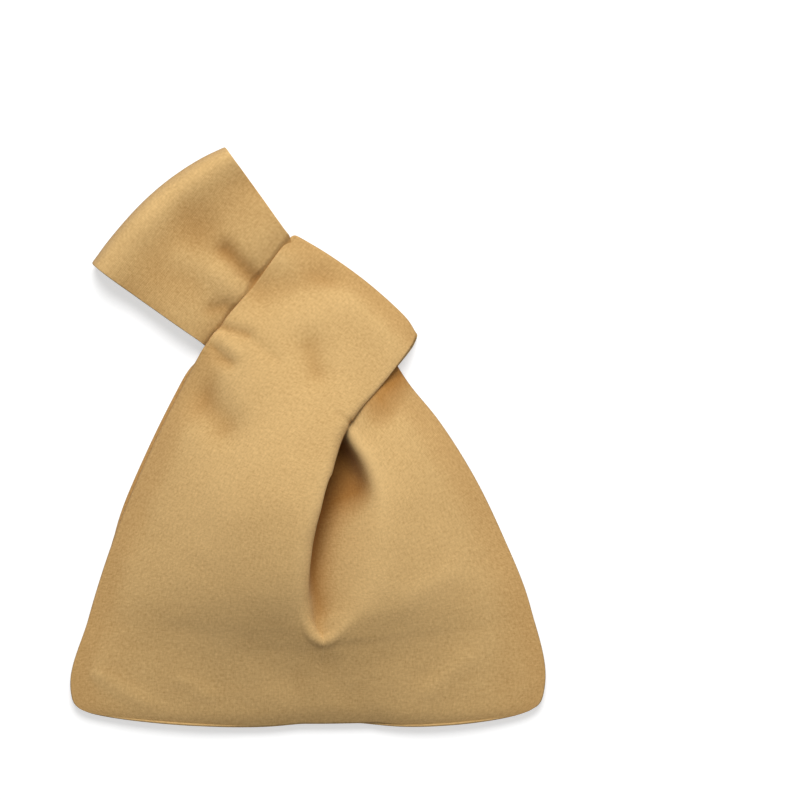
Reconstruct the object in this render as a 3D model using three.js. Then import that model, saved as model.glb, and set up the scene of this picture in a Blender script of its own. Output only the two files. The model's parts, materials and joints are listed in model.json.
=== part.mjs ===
// Knotted wrist bag of plain cotton canvas, tied and lying on its back.
// Millimetres. Seen from the front, x runs to the right and y towards the knot; z points up off the table.
// Front and back are each one cut of canvas with a lining. Both cuts end in a short loop and a long strap.
// The long strap runs through the short loop, and its far end is the loop that goes over the wrist.
import * as THREE from "three";

// Cloth and sewing
const CANVAS = 0.9; // outer cloth
const LINING = 0.5; // inner cloth
const GAP = 0.3; // air between layers that lie on each other
const SLIP = 0.5; // air round the long strap, which slides through the short loop
const SEAM_WIDTH = 7; // turned allowance inside a sewn edge
const SEAM_START_ROW = 0.06; // row where the side seams' allowances begin
const LEFT_SEAM_END_ROW = 0.93; // row where the left one ends, under the short loop
const RIGHT_SEAM_END_ROW = 0.78; // row where the right one ends, under the long strap
const SEAM_TRIM_SHARE = 0.02; // share cut off both ends of a loop's allowance
const SEAM_STEPS = 10; // steps along an allowance
const LINING_MARGIN = 2; // from that allowance to the lining's edge

// Body of the bag, as it lies
const BODY_WIDTH = 228; // across the bottom corners
const BODY_LENGTH = 174; // side seam, measured along y
const BOTTOM_BOW = 6; // the bottom seam dips this far below its corners
const BODY_HEIGHT = 37.5; // top of the front fold above the table
const CREST_HEIGHT = 27.6; // crest of the right half of the front
const BACK_RISE = 2.5; // the side and bottom seams lift this far off the table

// Front fold: the left half laps over the right half, and the cloth between lies folded under it
const FOLD_DEPTH = 14; // how far the hidden fold reaches in under the lap
const HOLLOW_DEPTH = 28.5; // from the lap's edge down to the hollow's floor, where it runs into the mouth
const FOLD_SPREAD = 5; // spacing of the fold's columns where the fold has run out
const LAP = [
  // edge of the lap: row, x, y; the first row is the middle of the bottom seam
  [0.12, 9, -117.5],
  [0.235, 7.4, -97.3],
  [0.29, 0.8, -89.6],
  [0.34, -1, -82.5],
  [0.45, -0.2, -70],
  [0.58, 2.4, -52],
  [0.72, 7.3, -32],
  [0.88, 15, -9],
];
const MOUTH = [
  // edge of the mouth on the right half, from the end of the fold to the long strap: row, x, y, height
  [0.83, 18, -14, 11.5],
  [0.86, 24, -8, 14],
  [0.91, 28, 2, 12.5],
  [0.955, 23, 10, 8.5],
];

// Knot: u points out along the wrist loop, v along the short loop
const KNOT = [-28.9, 69.3]; // middle of the edge that the wrist loop comes out of
const KNOT_ANGLE = THREE.MathUtils.degToRad(52); // from x to v
const SHORT_LOOP_LENGTH = 69; // along v
const SHORT_LOOP_WIDTH = 78; // along u
const SHORT_LOOP_SKEW = 13.5; // the inner edge of the short loop starts this much further along v
const LOOP_BOW = 3.5; // the short loop's free edges swell this far outwards
const LOOP_SEAM_WIDTH = 5; // turned allowance inside the short loop's top edge
const LONG_STRAP_LENGTH = 53; // from its root under the short loop to where it bends
const STRAP_ROOM = 9; // the gathered strap leaves this much of the short loop's length free
const LONG_STRAP_WIDTH = SHORT_LOOP_LENGTH - STRAP_ROOM;
const BEND_OUT = 3.5; // the wrist loop bends this far outside the short loop's edge
const BEND_CLEARANCE = 0.1; // air between layers that pass each other at the bend
const WRIST_LOOP_LENGTH = 57.5; // along its middle
const WRIST_LOOP_BASE = 67; // width at the knot
const WRIST_LOOP_WIDTH = 84; // width at its end
const WRIST_LOOP_SKEW = 16; // its end runs at a slant by this much
const WRIST_LOOP_SHIFT = 5.5; // its end lies this much further along v
const WRIST_LOOP_BOW = 6.5; // its end swells this far outwards
const WRIST_FLAT = 4; // flat stretch beside the bend, so that it folds clear of the long strap
const WRIST_LOOP_PUFF = 11; // the front strap stands this far off the back strap
const PUFF_LEAN = 1.4; // over 1 moves the fullest place from the middle towards the end
const WRIST_SETTLED = 0.25; // share of its length by which the back strap lies on the table

const CANVAS_COLOUR = 0xd0a768;
const LINING_COLOUR = 0xcba86f;
const SEAM_COLOUR = 0xb98f55;

// Height of the underside of each layer where the knot presses them together, counted up from the table
const SHORT_BACK = 0;
const SHORT_BACK_LINING = SHORT_BACK + CANVAS + GAP;
const LONG_BACK = SHORT_BACK_LINING + LINING + SLIP;
const LONG_BACK_LINING = LONG_BACK + CANVAS + GAP;
const LONG_FRONT_LINING = LONG_BACK_LINING + LINING + SLIP;
const LONG_FRONT = LONG_FRONT_LINING + LINING + GAP;
const SHORT_FRONT_LINING = LONG_FRONT + CANVAS + SLIP;
const SHORT_FRONT = SHORT_FRONT_LINING + LINING + GAP;
const SEAM_INSET = SEAM_WIDTH + LINING_MARGIN;
// The side and bottom seams: both turned allowances lie between the back and the front
const SEAM_LOW = CANVAS + BACK_RISE + GAP;
const SEAM_HIGH = SEAM_LOW + 2 * CANVAS;
const SEAM_FRONT = SEAM_HIGH + GAP;
// At the bend the linings meet close to its line, and the canvas stops short of it so that both ways fold
const BEND_START = LINING + SLIP / 2 + BEND_CLEARANCE;
const BEND_ROOM = CANVAS + GAP + BEND_START;

const { lerp, smoothstep } = THREE.MathUtils;

// A smooth function through rows of [stop, value, value, ...]
function track(rows) {
  const stops = rows.map((row) => row[0]);
  const values = rows.flatMap((row) => row.slice(1));
  const curve = new THREE.CubicInterpolant(stops, values, rows[0].length - 1);
  return (stop) => Array.from(curve.evaluate(stop));
}

// Plan point of the knot frame
function knot(u, v) {
  const cos = Math.cos(KNOT_ANGLE);
  const sin = Math.sin(KNOT_ANGLE);
  return [KNOT[0] - u * sin + v * cos, KNOT[1] + u * cos + v * sin];
}

// Plan point at a share of the way from a to b, swelling to the right of that way by bow at the middle
function bowed(a, b, bow, share) {
  const [dx, dy] = [b[0] - a[0], b[1] - a[1]];
  const swell = (4 * share * (1 - share) * bow) / Math.hypot(dx, dy);
  return [a[0] + dx * share + dy * swell, a[1] + dy * share - dx * swell];
}

// Plan point at a share of the way from a to b
function mix(a, b, share) {
  return [lerp(a[0], b[0], share), lerp(a[1], b[1], share)];
}

// Corners of the knot
const LOOP_FOOT = knot(0, -SHORT_LOOP_LENGTH / 2);
const LOOP_TIP = knot(0, SHORT_LOOP_LENGTH / 2);
const LAP_END = knot(-SHORT_LOOP_WIDTH, SHORT_LOOP_SKEW - SHORT_LOOP_LENGTH / 2);
const LOOP_CORNER = knot(-SHORT_LOOP_WIDTH, SHORT_LOOP_LENGTH / 2);
const STRAP_LOW = GAP - SHORT_LOOP_LENGTH / 2;
const STRAP_HIGH = STRAP_LOW + LONG_STRAP_WIDTH;
const ROOT = BEND_OUT - LONG_STRAP_LENGTH;

// Plan of the body, by rows from 0 at the bottom seam to 1 at the knot
const BOTTOM = LOOP_FOOT[1] - BODY_LENGTH;
const half = BODY_WIDTH / 2;
const leftEdge = track([
  [0, -0.9 * half, BOTTOM],
  [0.03, -0.966 * half, BOTTOM + 0.014 * BODY_LENGTH],
  [0.07, -half, BOTTOM + 0.06 * BODY_LENGTH],
  [0.25, -0.925 * half, BOTTOM + 0.25 * BODY_LENGTH],
  [0.5, -0.8 * half, BOTTOM + 0.5 * BODY_LENGTH],
  [0.75, -0.635 * half, BOTTOM + 0.75 * BODY_LENGTH],
  [1, ...LOOP_FOOT],
]);
const rightEdge = track([
  [0, 0.88 * half, BOTTOM],
  [0.03, 0.952 * half, BOTTOM + 0.014 * BODY_LENGTH],
  [0.07, 0.988 * half, BOTTOM + 0.066 * BODY_LENGTH],
  [0.25, 0.934 * half, BOTTOM + 0.277 * BODY_LENGTH],
  [0.45, 0.816 * half, BOTTOM + 0.477 * BODY_LENGTH],
  [0.6, 0.693 * half, BOTTOM + 0.643 * BODY_LENGTH],
  [0.74, 0.544 * half, BOTTOM + 0.797 * BODY_LENGTH],
  [0.87, 0.395 * half, BOTTOM + 0.92 * BODY_LENGTH],
  [1, ...knot(ROOT, STRAP_HIGH)],
]);
const MOUTH_ROW = 0.8; // the fold opens into the mouth
const BACK_DOWN_ROW = 0.6; // the back's side edges begin to come down to the table
const BACK_UP_ROW = 0.68; // the back's right half begins to rise to the long strap
const STRAP_ROW = 0.95; // the right half has come down to the long strap's height
const bottomMiddle = [LAP[0][1], BOTTOM - BOTTOM_BOW];
const lap = track([[0, ...bottomMiddle], ...LAP, [1, ...LAP_END]]);

// Heights over the body, and the hollow's depth, as shares of their largest
const lapRise = track([
  [0, 0],
  [0.03, 0.02],
  [0.07, 0.08],
  [0.12, 0.19],
  [0.19, 0.37],
  [0.25, 0.52],
  [0.31, 0.65],
  [0.38, 0.77],
  [0.47, 0.87],
  [0.58, 0.96],
  [0.7, 1],
  [0.85, 0.87],
  [1, 0.65],
]);
const hollowShare = track([
  [0.12, 0],
  [0.19, 0.01],
  [0.25, 0.07],
  [0.31, 0.25],
  [0.38, 0.41],
  [0.47, 0.58],
  [0.57, 0.74],
  [0.7, 0.91],
  [MOUTH_ROW, 1],
]);
const crest = track([
  // row, distance from the lap's edge, rise
  [0, 30, 0],
  [0.03, 30, 0.02],
  [0.07, 29, 0.1],
  [0.12, 27, 0.23],
  [0.19, 24, 0.45],
  [0.25, 22, 0.65],
  [0.31, 24, 0.81],
  [0.38, 28, 0.91],
  [0.47, 31, 0.98],
  [0.58, 31.5, 1],
  [0.7, 28, 0.93],
  [MOUTH_ROW, 21, 0.79],
]);
const foldReach = track([
  [0, 0.3],
  [0.31, 0.3],
  [0.44, 1],
  [0.64, 1],
  [MOUTH_ROW, 0.3],
  [1, 0.3],
]);
const lapHeight = (row) => lerp(SEAM_FRONT, BODY_HEIGHT, lapRise(row)[0]);
const leftSeamHeight = (row) => lerp(SEAM_FRONT, SHORT_FRONT, smoothstep(row, MOUTH_ROW, 1));
const rightSeamHeight = (row) => lerp(SEAM_FRONT, LONG_FRONT, smoothstep(row, MOUTH_ROW, STRAP_ROW));

// Columns of the fold, each as a step from the lap's edge: sideways in fold depths, down in hollow depths
const FOLD = [
  { side: -0.4, down: 0 },
  { side: 0, down: 0.1 },
  { side: -0.35, down: 0.3 },
  { side: -1, down: 0.45 },
  { side: -1.25, down: 0.75 },
  { side: -1, down: 1 },
  { side: 0.25, down: 0.95 },
];
const LAP_COLUMN = 1; // the lap's edge among those columns
const FLOOR_COLUMN = 5; // where the right half begins among them
const FOLD_START = 0.12; // row where the cloth begins to fold
const FOLD_FULL = 0.36; // row where the fold is complete

function foldPoint(column, row) {
  const [x, y] = lap(row);
  const folded = smoothstep(row, FOLD_START, FOLD_FULL);
  const reach = FOLD_DEPTH * (column === LAP_COLUMN ? 1 : foldReach(row)[0]);
  const flat = (column - (FOLD.length - 1) / 2) * FOLD_SPREAD;
  const side = lerp(flat, FOLD[column].side * reach, folded);
  const down = FOLD[column].down * HOLLOW_DEPTH * hollowShare(row)[0];
  return [x + side, y, lapHeight(row) - down];
}

// Past the end of the fold, the right half starts at the edge of the mouth
const mouth = track([
  [MOUTH_ROW, ...foldPoint(FLOOR_COLUMN, MOUTH_ROW)],
  ...MOUTH,
  [1, ...knot(ROOT, STRAP_LOW), LONG_FRONT],
]);
const CREST_FALL = 1.8; // over 1 keeps the right half high near its crest

function fromMouth(row, share) {
  const start = mouth(row);
  const height = lerp(start[2], rightSeamHeight(row), share ** CREST_FALL);
  return [...mix(start, rightEdge(row), share), height];
}

const LEFT_SHARES = [0, 0.15, 0.28, 0.44, 0.62, 0.8];
const MOUTH_SHARES = [0, 0.1, 0.2, 0.3]; // columns from the mouth's edge to the crest
const CREST_SHARES = [0.18, 0.38, 0.6, 0.8, 1]; // from the crest to the right seam
const BACK_SHARES = [0.12, 0.28, 0.45, 0.62, 0.78, 1];
const LOW_ROWS = [0, 0.03, 0.07, 0.13, 0.19, 0.25, 0.31, 0.38, 0.47, 0.57, 0.66, 0.74];
const BODY_ROWS = [...LOW_ROWS, MOUTH_ROW, ...MOUTH.map((row) => row[0]), 1];
const LOOP_ROWS = [0.12, 0.25, 0.4, 0.56, 0.72, 0.86, 1];
const LOOP_SETTLED = 0.75; // row of the short loop by which it lies on the long strap
const LOOP_FALL = 1.1; // over 1 brings the short loop down faster at first
const LAP_AT = LEFT_SHARES.length + LAP_COLUMN;
const FLOOR_AT = LEFT_SHARES.length + FLOOR_COLUMN;
const SLOPE_AT = LEFT_SHARES.length + FOLD.length;
const CREST_AT = SLOPE_AT + 1;
const COLUMNS = CREST_AT + 1 + CREST_SHARES.length;
const ALL_ROWS = BODY_ROWS.length + LOOP_ROWS.length;

// Plan points on a row, with the column next to the edge placed just inside the seam
function between(edge, end, share, nextToEdge) {
  const inset = SEAM_INSET / Math.hypot(end[0] - edge[0], end[1] - edge[1]);
  return nextToEdge ? inset : share;
}

function leftPoint(column, row) {
  const edge = leftEdge(row);
  const end = foldPoint(0, row);
  const share = between(edge, end, LEFT_SHARES[column], column === 1);
  const rise = 1 - (1 - share) ** 2;
  return [...mix(edge, end, share), lerp(leftSeamHeight(row), end[2], rise)];
}

function crestPoint(row) {
  const [x, y] = lap(row);
  const [away, rise] = crest(row);
  return [x + away, y, lerp(SEAM_FRONT, CREST_HEIGHT, rise)];
}

// Halfway from the hollow's floor to the crest; towards the mouth more of the climb comes after it
const SOFT_CLIMB = 0.72;
const STEEP_CLIMB = 0.45;
const STEEP_ROW = 0.6; // row from which the wall steepens
function slopePoint(row) {
  const foot = foldPoint(FOLD.length - 1, row);
  const top = crestPoint(row);
  const climb = lerp(SOFT_CLIMB, STEEP_CLIMB, smoothstep(row, STEEP_ROW, MOUTH_ROW));
  return [...mix(foot, top, 0.5), lerp(foot[2], top[2], climb)];
}

function rightPoint(column, row) {
  const start = row > MOUTH_ROW ? fromMouth(row, MOUTH_SHARES.at(-1)) : crestPoint(row);
  const edge = rightEdge(row);
  const last = column === CREST_SHARES.length - 2;
  const share = 1 - between(edge, start, 1 - CREST_SHARES[column], last);
  const height = lerp(start[2], rightSeamHeight(row), share ** CREST_FALL);
  return [...mix(start, edge, share), height];
}

// Plan of the short loop, from the body at row 0 to its top edge at row 1
function loopPlan(share, row) {
  const inner = bowed(LAP_END, LOOP_CORNER, LOOP_BOW, row);
  const top = bowed(LOOP_TIP, LOOP_CORNER, -LOOP_BOW, share);
  const straightInner = mix(LAP_END, LOOP_CORNER, row);
  const straightTop = mix(LOOP_TIP, LOOP_CORNER, share);
  const flat = mix(mix(LOOP_FOOT, LAP_END, share), straightTop, row);
  const swell = (i) => share * (inner[i] - straightInner[i]) + row * (top[i] - straightTop[i]);
  return flat.map((value, i) => value + swell(i));
}

// Share of the way across the short loop for a column that comes up from the body
function loopShare(point) {
  const reach = Math.hypot(LAP_END[0] - LOOP_FOOT[0], LAP_END[1] - LOOP_FOOT[1]);
  return Math.hypot(point[0] - LOOP_FOOT[0], point[1] - LOOP_FOOT[1]) / reach;
}

function frontBody(column, row) {
  if (column < LEFT_SHARES.length) return leftPoint(column, row);
  if (column > CREST_AT) return rightPoint(column - CREST_AT - 1, row);
  if (column >= FLOOR_AT && row > MOUTH_ROW) return fromMouth(row, MOUTH_SHARES[column - FLOOR_AT]);
  if (column === CREST_AT) return crestPoint(row);
  if (column === SLOPE_AT) return slopePoint(row);
  return foldPoint(column - LEFT_SHARES.length, row);
}

function frontPoint(column, rowAt) {
  if (rowAt < BODY_ROWS.length) return frontBody(column, BODY_ROWS[rowAt]);
  const row = LOOP_ROWS[rowAt - BODY_ROWS.length];
  const base = frontBody(column, 1);
  const left = Math.max(0, 1 - row / LOOP_SETTLED);
  const settled = lerp(SHORT_FRONT, base[2], left ** LOOP_FALL);
  const height = row === 1 ? LONG_FRONT : settled;
  return [...loopPlan(loopShare(base), row), height];
}

// Back: the same plan without the fold, flat on the table and lifted at its seams
const BACK_COLUMNS = LEFT_SHARES.length + 2 + BACK_SHARES.length;
const BACK_LAP_AT = LEFT_SHARES.length;
const BACK_FLOOR_AT = BACK_LAP_AT + 1;

function backLift(column, row) {
  const side = column === 0 || column === BACK_COLUMNS - 1;
  const sideLift = side ? 1 - smoothstep(row, BACK_DOWN_ROW, MOUTH_ROW) : 0;
  return BACK_RISE * Math.max(sideLift, 1 - smoothstep(row, 0, BODY_ROWS[2]));
}

function backBody(column, row) {
  const lift = CANVAS + backLift(column, row);
  if (column < BACK_LAP_AT) {
    const edge = leftEdge(row);
    const share = between(edge, lap(row), LEFT_SHARES[column], column === 1);
    return [...mix(edge, lap(row), share), lift];
  }
  if (column === BACK_LAP_AT) return [...lap(row), lift];
  const start = row <= MOUTH_ROW ? lap(row) : mouth(row);
  const edge = rightEdge(row);
  const right = column - BACK_FLOOR_AT - 1;
  const last = right === BACK_SHARES.length - 2;
  const share = right < 0 ? 0 : 1 - between(edge, start, 1 - BACK_SHARES[right], last);
  const rise = LONG_BACK * smoothstep(row, BACK_UP_ROW, MOUTH[0][0]);
  return [...mix(start, edge, share), lift + rise];
}

function backPoint(column, rowAt) {
  if (rowAt < BODY_ROWS.length) return backBody(column, BODY_ROWS[rowAt]);
  const row = LOOP_ROWS[rowAt - BODY_ROWS.length];
  return [...loopPlan(loopShare(backBody(column, 1)), row), CANVAS];
}

const everyCell = () => true;

// A net of cloth: points by column and row, and the cells that are cloth, counter-clockwise from outside
function net(columns, rows, point, hasCell, outside, sameAs = (column) => column) {
  const points = [];
  for (let row = 0; row < rows; row++) {
    for (let column = 0; column < columns; column++) {
      points.push(new THREE.Vector3(...point(column, row)));
    }
  }
  const at = (column, row) => row * columns + sameAs(column, row);
  const cells = [];
  for (let row = 0; row + 1 < rows; row++) {
    for (let column = 0; column + 1 < columns; column++) {
      if (!hasCell(column, row)) continue;
      const near = [at(column, row), at(column + 1, row)];
      const far = [at(column + 1, row + 1), at(column, row + 1)];
      const ring = [...near, ...far];
      cells.push({ column, row, ring: outside > 0 ? ring : ring.reverse() });
    }
  }
  return { points, cells, normals: clothNormals(points, cells) };
}

// Outward direction at each point, as the mean over the cells that meet there
function clothNormals(points, cells) {
  const normals = points.map(() => new THREE.Vector3());
  for (const { ring } of cells) {
    const [a, b, c, d] = ring.map((i) => points[i]);
    const other = new THREE.Vector3().subVectors(d, b);
    const outward = new THREE.Vector3().subVectors(c, a).cross(other).normalize();
    for (const i of ring) normals[i].add(outward);
  }
  return normals.map((normal) => normal.normalize());
}

// Closed solid of the cloth between two distances from its net, over the cells that keep() picks
function clothSolid(cloth, low, high, keep = everyCell) {
  const order = new Map();
  const position = [];
  const index = [];
  const open = new Map();
  const corner = (i) => {
    if (!order.has(i)) {
      order.set(i, 2 * order.size);
      for (const lift of [low, high]) {
        position.push(...cloth.points[i].clone().addScaledVector(cloth.normals[i], lift));
      }
    }
    return order.get(i);
  };
  for (const { ring } of cloth.cells.filter(keep)) {
    const [a, b, c, d] = ring.map(corner);
    index.push(a + 1, b + 1, c + 1, a + 1, c + 1, d + 1);
    index.push(a, c, b, a, d, c);
    ring.forEach((from, side) => {
      const to = ring[(side + 1) % ring.length];
      if (!open.delete(`${to} ${from}`)) open.set(`${from} ${to}`, [corner(from), corner(to)]);
    });
  }
  for (const [from, to] of open.values()) {
    index.push(from, to, to + 1, from, to + 1, from + 1);
  }
  const geometry = new THREE.BufferGeometry();
  geometry.setAttribute("position", new THREE.Float32BufferAttribute(position, 3));
  geometry.setIndex(index);
  geometry.computeVertexNormals();
  return geometry;
}

// A flat band along an edge: its outer line at share 0 and its inner line at share 1, between two heights
function band(steps, line, low, high) {
  const point = (side, step) => [...line(side, step / steps), low];
  const strip = (facing) => net(2, steps + 1, point, everyCell, facing);
  const up = strip(1);
  return clothSolid(up.normals[0].z > 0 ? up : strip(-1), 0, high - low);
}

const bag = new THREE.Group();

function add(name, geometry, color, roughness) {
  const material = new THREE.MeshStandardMaterial({ color, roughness, metalness: 0 });
  const mesh = new THREE.Mesh(geometry, material);
  mesh.name = name;
  bag.add(mesh);
}
const addCanvas = (name, geometry) => add(name, geometry, CANVAS_COLOUR, 0.9);
const addLining = (name, geometry) => add(name, geometry, LINING_COLOUR, 0.85);
const addSeam = (name, geometry) => add(name, geometry, SEAM_COLOUR, 0.9);

// Front and back panels with their linings
const MOUTH_AT = BODY_ROWS.indexOf(MOUTH_ROW);
const KNOT_AT = BODY_ROWS.length - 1;
const frontCell = (column, row) => {
  if (row >= KNOT_AT) return column < LAP_AT;
  return row < MOUTH_AT || column < LAP_AT || column >= FLOOR_AT;
};
const backCell = (column, row) => {
  if (column === BACK_LAP_AT) return false;
  return row < KNOT_AT || column < BACK_LAP_AT;
};
const sewnTogether = (column, row) =>
  column === BACK_FLOOR_AT && row <= MOUTH_AT ? BACK_LAP_AT : column;
const front = net(COLUMNS, ALL_ROWS, frontPoint, frontCell, 1);
const back = net(BACK_COLUMNS, ALL_ROWS, backPoint, backCell, -1, sewnTogether);
const LINING_ROW = 2; // first row that the lining reaches down to
const insideSeams = (columns) => ({ column, row }) =>
  column >= 1 && column < columns - 2 && row >= LINING_ROW && row < ALL_ROWS - 2;
addCanvas("front_canvas_panel", clothSolid(front, 0, CANVAS));
addLining("front_lining_panel", clothSolid(front, -GAP - LINING, -GAP, insideSeams(COLUMNS)));
addCanvas("back_canvas_panel", clothSolid(back, 0, CANVAS));
addLining("back_lining_panel", clothSolid(back, -GAP - LINING, -GAP, insideSeams(BACK_COLUMNS)));

// Turned allowances inside the side, bottom and loop seams
const towards = (from, to, distance) => {
  const share = distance / Math.hypot(to[0] - from[0], to[1] - from[1]);
  return mix(from, to, share);
};
const leftSeam = (side, share) => {
  const row = lerp(SEAM_START_ROW, LEFT_SEAM_END_ROW, share);
  return towards(leftEdge(row), lap(row), GAP + side * SEAM_WIDTH);
};
const rightSeam = (side, share) => {
  const row = lerp(SEAM_START_ROW, RIGHT_SEAM_END_ROW, share);
  return towards(rightEdge(row), lap(row), GAP + side * SEAM_WIDTH);
};
const bottomSeam = (side, share) => {
  const middle = lap(0);
  const edge =
    share < 0.5 ? mix(leftEdge(0), middle, 2 * share) : mix(middle, rightEdge(0), 2 * share - 1);
  return [edge[0], edge[1] + GAP + side * SEAM_WIDTH];
};
const loopSeam = (side, share) => {
  const inner = 1 - (GAP + LOOP_SEAM_WIDTH * side) / SHORT_LOOP_LENGTH;
  return loopPlan(lerp(SEAM_TRIM_SHARE, 1 - SEAM_TRIM_SHARE, share), inner);
};
addSeam("left_side_seam", band(SEAM_STEPS, leftSeam, SEAM_LOW, SEAM_HIGH));
addSeam("right_side_seam", band(SEAM_STEPS, rightSeam, SEAM_LOW, SEAM_HIGH));
addSeam("bottom_seam", band(SEAM_STEPS, bottomSeam, SEAM_LOW, SEAM_HIGH));
addSeam("short_loop_top_seam", band(SEAM_STEPS, loopSeam, SHORT_BACK_LINING, LONG_FRONT - GAP));

// Long strap, pressed flat inside the short loop
function strapLayer(height, thickness, end) {
  const across = 4;
  const along = 4;
  const point = (column, row) => [
    ...knot(lerp(ROOT + GAP, end, row / along), lerp(STRAP_LOW, STRAP_HIGH, column / across)),
    height,
  ];
  return clothSolid(net(across + 1, along + 1, point, everyCell, 1), 0, thickness);
}
addCanvas("long_strap_back_canvas", strapLayer(LONG_BACK, CANVAS, BEND_OUT - BEND_ROOM));
addLining("long_strap_back_lining", strapLayer(LONG_BACK_LINING, LINING, BEND_OUT - BEND_CLEARANCE));
addLining("long_strap_front_lining", strapLayer(LONG_FRONT_LINING, LINING, BEND_OUT - BEND_CLEARANCE));
addCanvas("long_strap_front_canvas", strapLayer(LONG_FRONT, CANVAS, BEND_OUT - BEND_ROOM));

// Wrist loop: the two straps beyond the bend, held together by their end seam
const WRIST_COLUMNS = 7;
const FLAT_SHARE = WRIST_FLAT / WRIST_LOOP_LENGTH;
const END_SHARE = 1 - SEAM_INSET / WRIST_LOOP_LENGTH;
const WRIST_ROWS = [0, FLAT_SHARE, 0.14, 0.23, 0.36, 0.5, 0.62, 0.74, END_SHARE, 1];

function wristPlan(across, along) {
  const base = [BEND_OUT + BEND_START, (across - 0.5) * WRIST_LOOP_BASE];
  const swell = WRIST_LOOP_BOW * 4 * across * (1 - across);
  const slant = WRIST_LOOP_SKEW * (0.5 - across);
  const end = [BEND_OUT + WRIST_LOOP_LENGTH + slant + swell, (across - 0.5) * WRIST_LOOP_WIDTH];
  end[1] += WRIST_LOOP_SHIFT;
  return knot(...mix(base, end, along));
}

const wristFront = (column, row) => {
  const along = WRIST_ROWS[row];
  const lifted = Math.max(0, (along - FLAT_SHARE) / (1 - FLAT_SHARE));
  const puff = WRIST_LOOP_PUFF * Math.sin(Math.PI * lifted ** PUFF_LEAN);
  return [...wristPlan(column / (WRIST_COLUMNS - 1), along), LONG_FRONT + puff];
};
const wristBack = (column, row) => {
  const along = WRIST_ROWS[row];
  const height = CANVAS + LONG_BACK * (1 - smoothstep(along, FLAT_SHARE, WRIST_SETTLED));
  return [...wristPlan(column / (WRIST_COLUMNS - 1), along), height];
};
const beforeEnd = ({ row }) => row < WRIST_ROWS.length - 2;
const wristTop = net(WRIST_COLUMNS, WRIST_ROWS.length, wristFront, everyCell, 1);
const wristUnder = net(WRIST_COLUMNS, WRIST_ROWS.length, wristBack, everyCell, -1);
addCanvas("wrist_loop_front_canvas", clothSolid(wristTop, 0, CANVAS));
addLining("wrist_loop_front_lining", clothSolid(wristTop, -GAP - LINING, -GAP, beforeEnd));
addCanvas("wrist_loop_back_canvas", clothSolid(wristUnder, 0, CANVAS));
addLining("wrist_loop_back_lining", clothSolid(wristUnder, -GAP - LINING, -GAP, beforeEnd));
const wristSeam = (side, share) => {
  const inner = 1 - (GAP + SEAM_WIDTH * side) / WRIST_LOOP_LENGTH;
  return wristPlan(lerp(SEAM_TRIM_SHARE, 1 - SEAM_TRIM_SHARE, share), inner);
};
addSeam("wrist_loop_end_seam", band(SEAM_STEPS, wristSeam, CANVAS + GAP, LONG_FRONT - GAP));

// The origin lies under the middle of the bag, on the table
const box = new THREE.Box3().setFromObject(bag);
const middle = box.getCenter(new THREE.Vector3());
for (const mesh of bag.children) {
  mesh.position.set(-middle.x, -middle.y, -box.min.z);
}

export default bag;
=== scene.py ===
# %% [markdown]
# A knotted wrist bag, dressed over its solids
#
# The bag is two cuts of ochre canvas, each with a lining. Every cut ends in a short loop on the left
# and a long strap on the right. The strap is drawn through the loop, so the loop and the strap make a
# soft knot, and the strap's far end stands out of it as the loop that goes over a wrist.
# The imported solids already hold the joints, and this lesson lays fine cloth over them. A simulation
# could drop the cloth, but the folds of this bag have set places. So every fold is drawn.

# %% Load the frame
import json
import math

import bmesh
import bpy
import numpy as np
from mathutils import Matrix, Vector, noise


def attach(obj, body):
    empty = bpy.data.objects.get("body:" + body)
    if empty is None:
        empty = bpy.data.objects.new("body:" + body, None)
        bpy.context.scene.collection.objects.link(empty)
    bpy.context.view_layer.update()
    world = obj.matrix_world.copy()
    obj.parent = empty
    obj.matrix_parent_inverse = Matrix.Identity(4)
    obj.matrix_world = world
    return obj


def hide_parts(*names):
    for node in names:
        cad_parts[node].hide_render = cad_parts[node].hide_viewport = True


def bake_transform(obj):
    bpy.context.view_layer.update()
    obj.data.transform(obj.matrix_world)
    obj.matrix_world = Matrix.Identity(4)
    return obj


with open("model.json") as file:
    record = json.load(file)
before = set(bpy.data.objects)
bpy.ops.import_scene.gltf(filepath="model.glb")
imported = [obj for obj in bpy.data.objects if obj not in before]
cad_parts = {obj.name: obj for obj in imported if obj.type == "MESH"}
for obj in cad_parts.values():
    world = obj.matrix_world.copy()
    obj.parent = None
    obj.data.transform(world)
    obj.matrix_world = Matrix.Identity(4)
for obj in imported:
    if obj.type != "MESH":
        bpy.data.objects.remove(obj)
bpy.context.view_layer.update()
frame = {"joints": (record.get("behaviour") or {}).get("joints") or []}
MM = 0.001  # the lesson counts in millimetres, and Blender in metres
joints = {joint["name"]: joint for joint in frame["joints"]}

# %% [markdown]
# Edges and folds of cloth are smooth lines. They could be curve objects, but a curve's handles are hard
# to set in a script. Here a line runs through a few stops with a cubic between them, which is how a
# pattern cutter draws an edge through notches. Places are in plan, as the bag lies on the table.

# %% Lines through a few stops
def through(*rows):
    """A smooth function through rows of (stop, value, value, ...)."""
    stops = np.array([row[0] for row in rows], float)
    values = np.array([row[1:] for row in rows], float)
    slopes = np.gradient(values, stops, axis=0)

    def at(stop):
        i = int(np.clip(np.searchsorted(stops, stop) - 1, 0, len(stops) - 2))
        width = stops[i + 1] - stops[i]
        s = float(np.clip((stop - stops[i]) / width, 0, 1))
        early = (1 + 2 * s) * (1 - s) ** 2 * values[i] + s * (1 - s) ** 2 * width * slopes[i]
        late = s * s * (3 - 2 * s) * values[i + 1] + s * s * (s - 1) * width * slopes[i + 1]
        found = early + late
        return found if len(found) > 1 else float(found[0])

    return at


def ease(value, start, end):
    """0 before start, 1 after end, and smooth between them."""
    share = np.clip((value - start) / (end - start), 0, 1)
    return share * share * (3 - 2 * share)


def mix(a, b, share):
    return a + (b - a) * share


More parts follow.
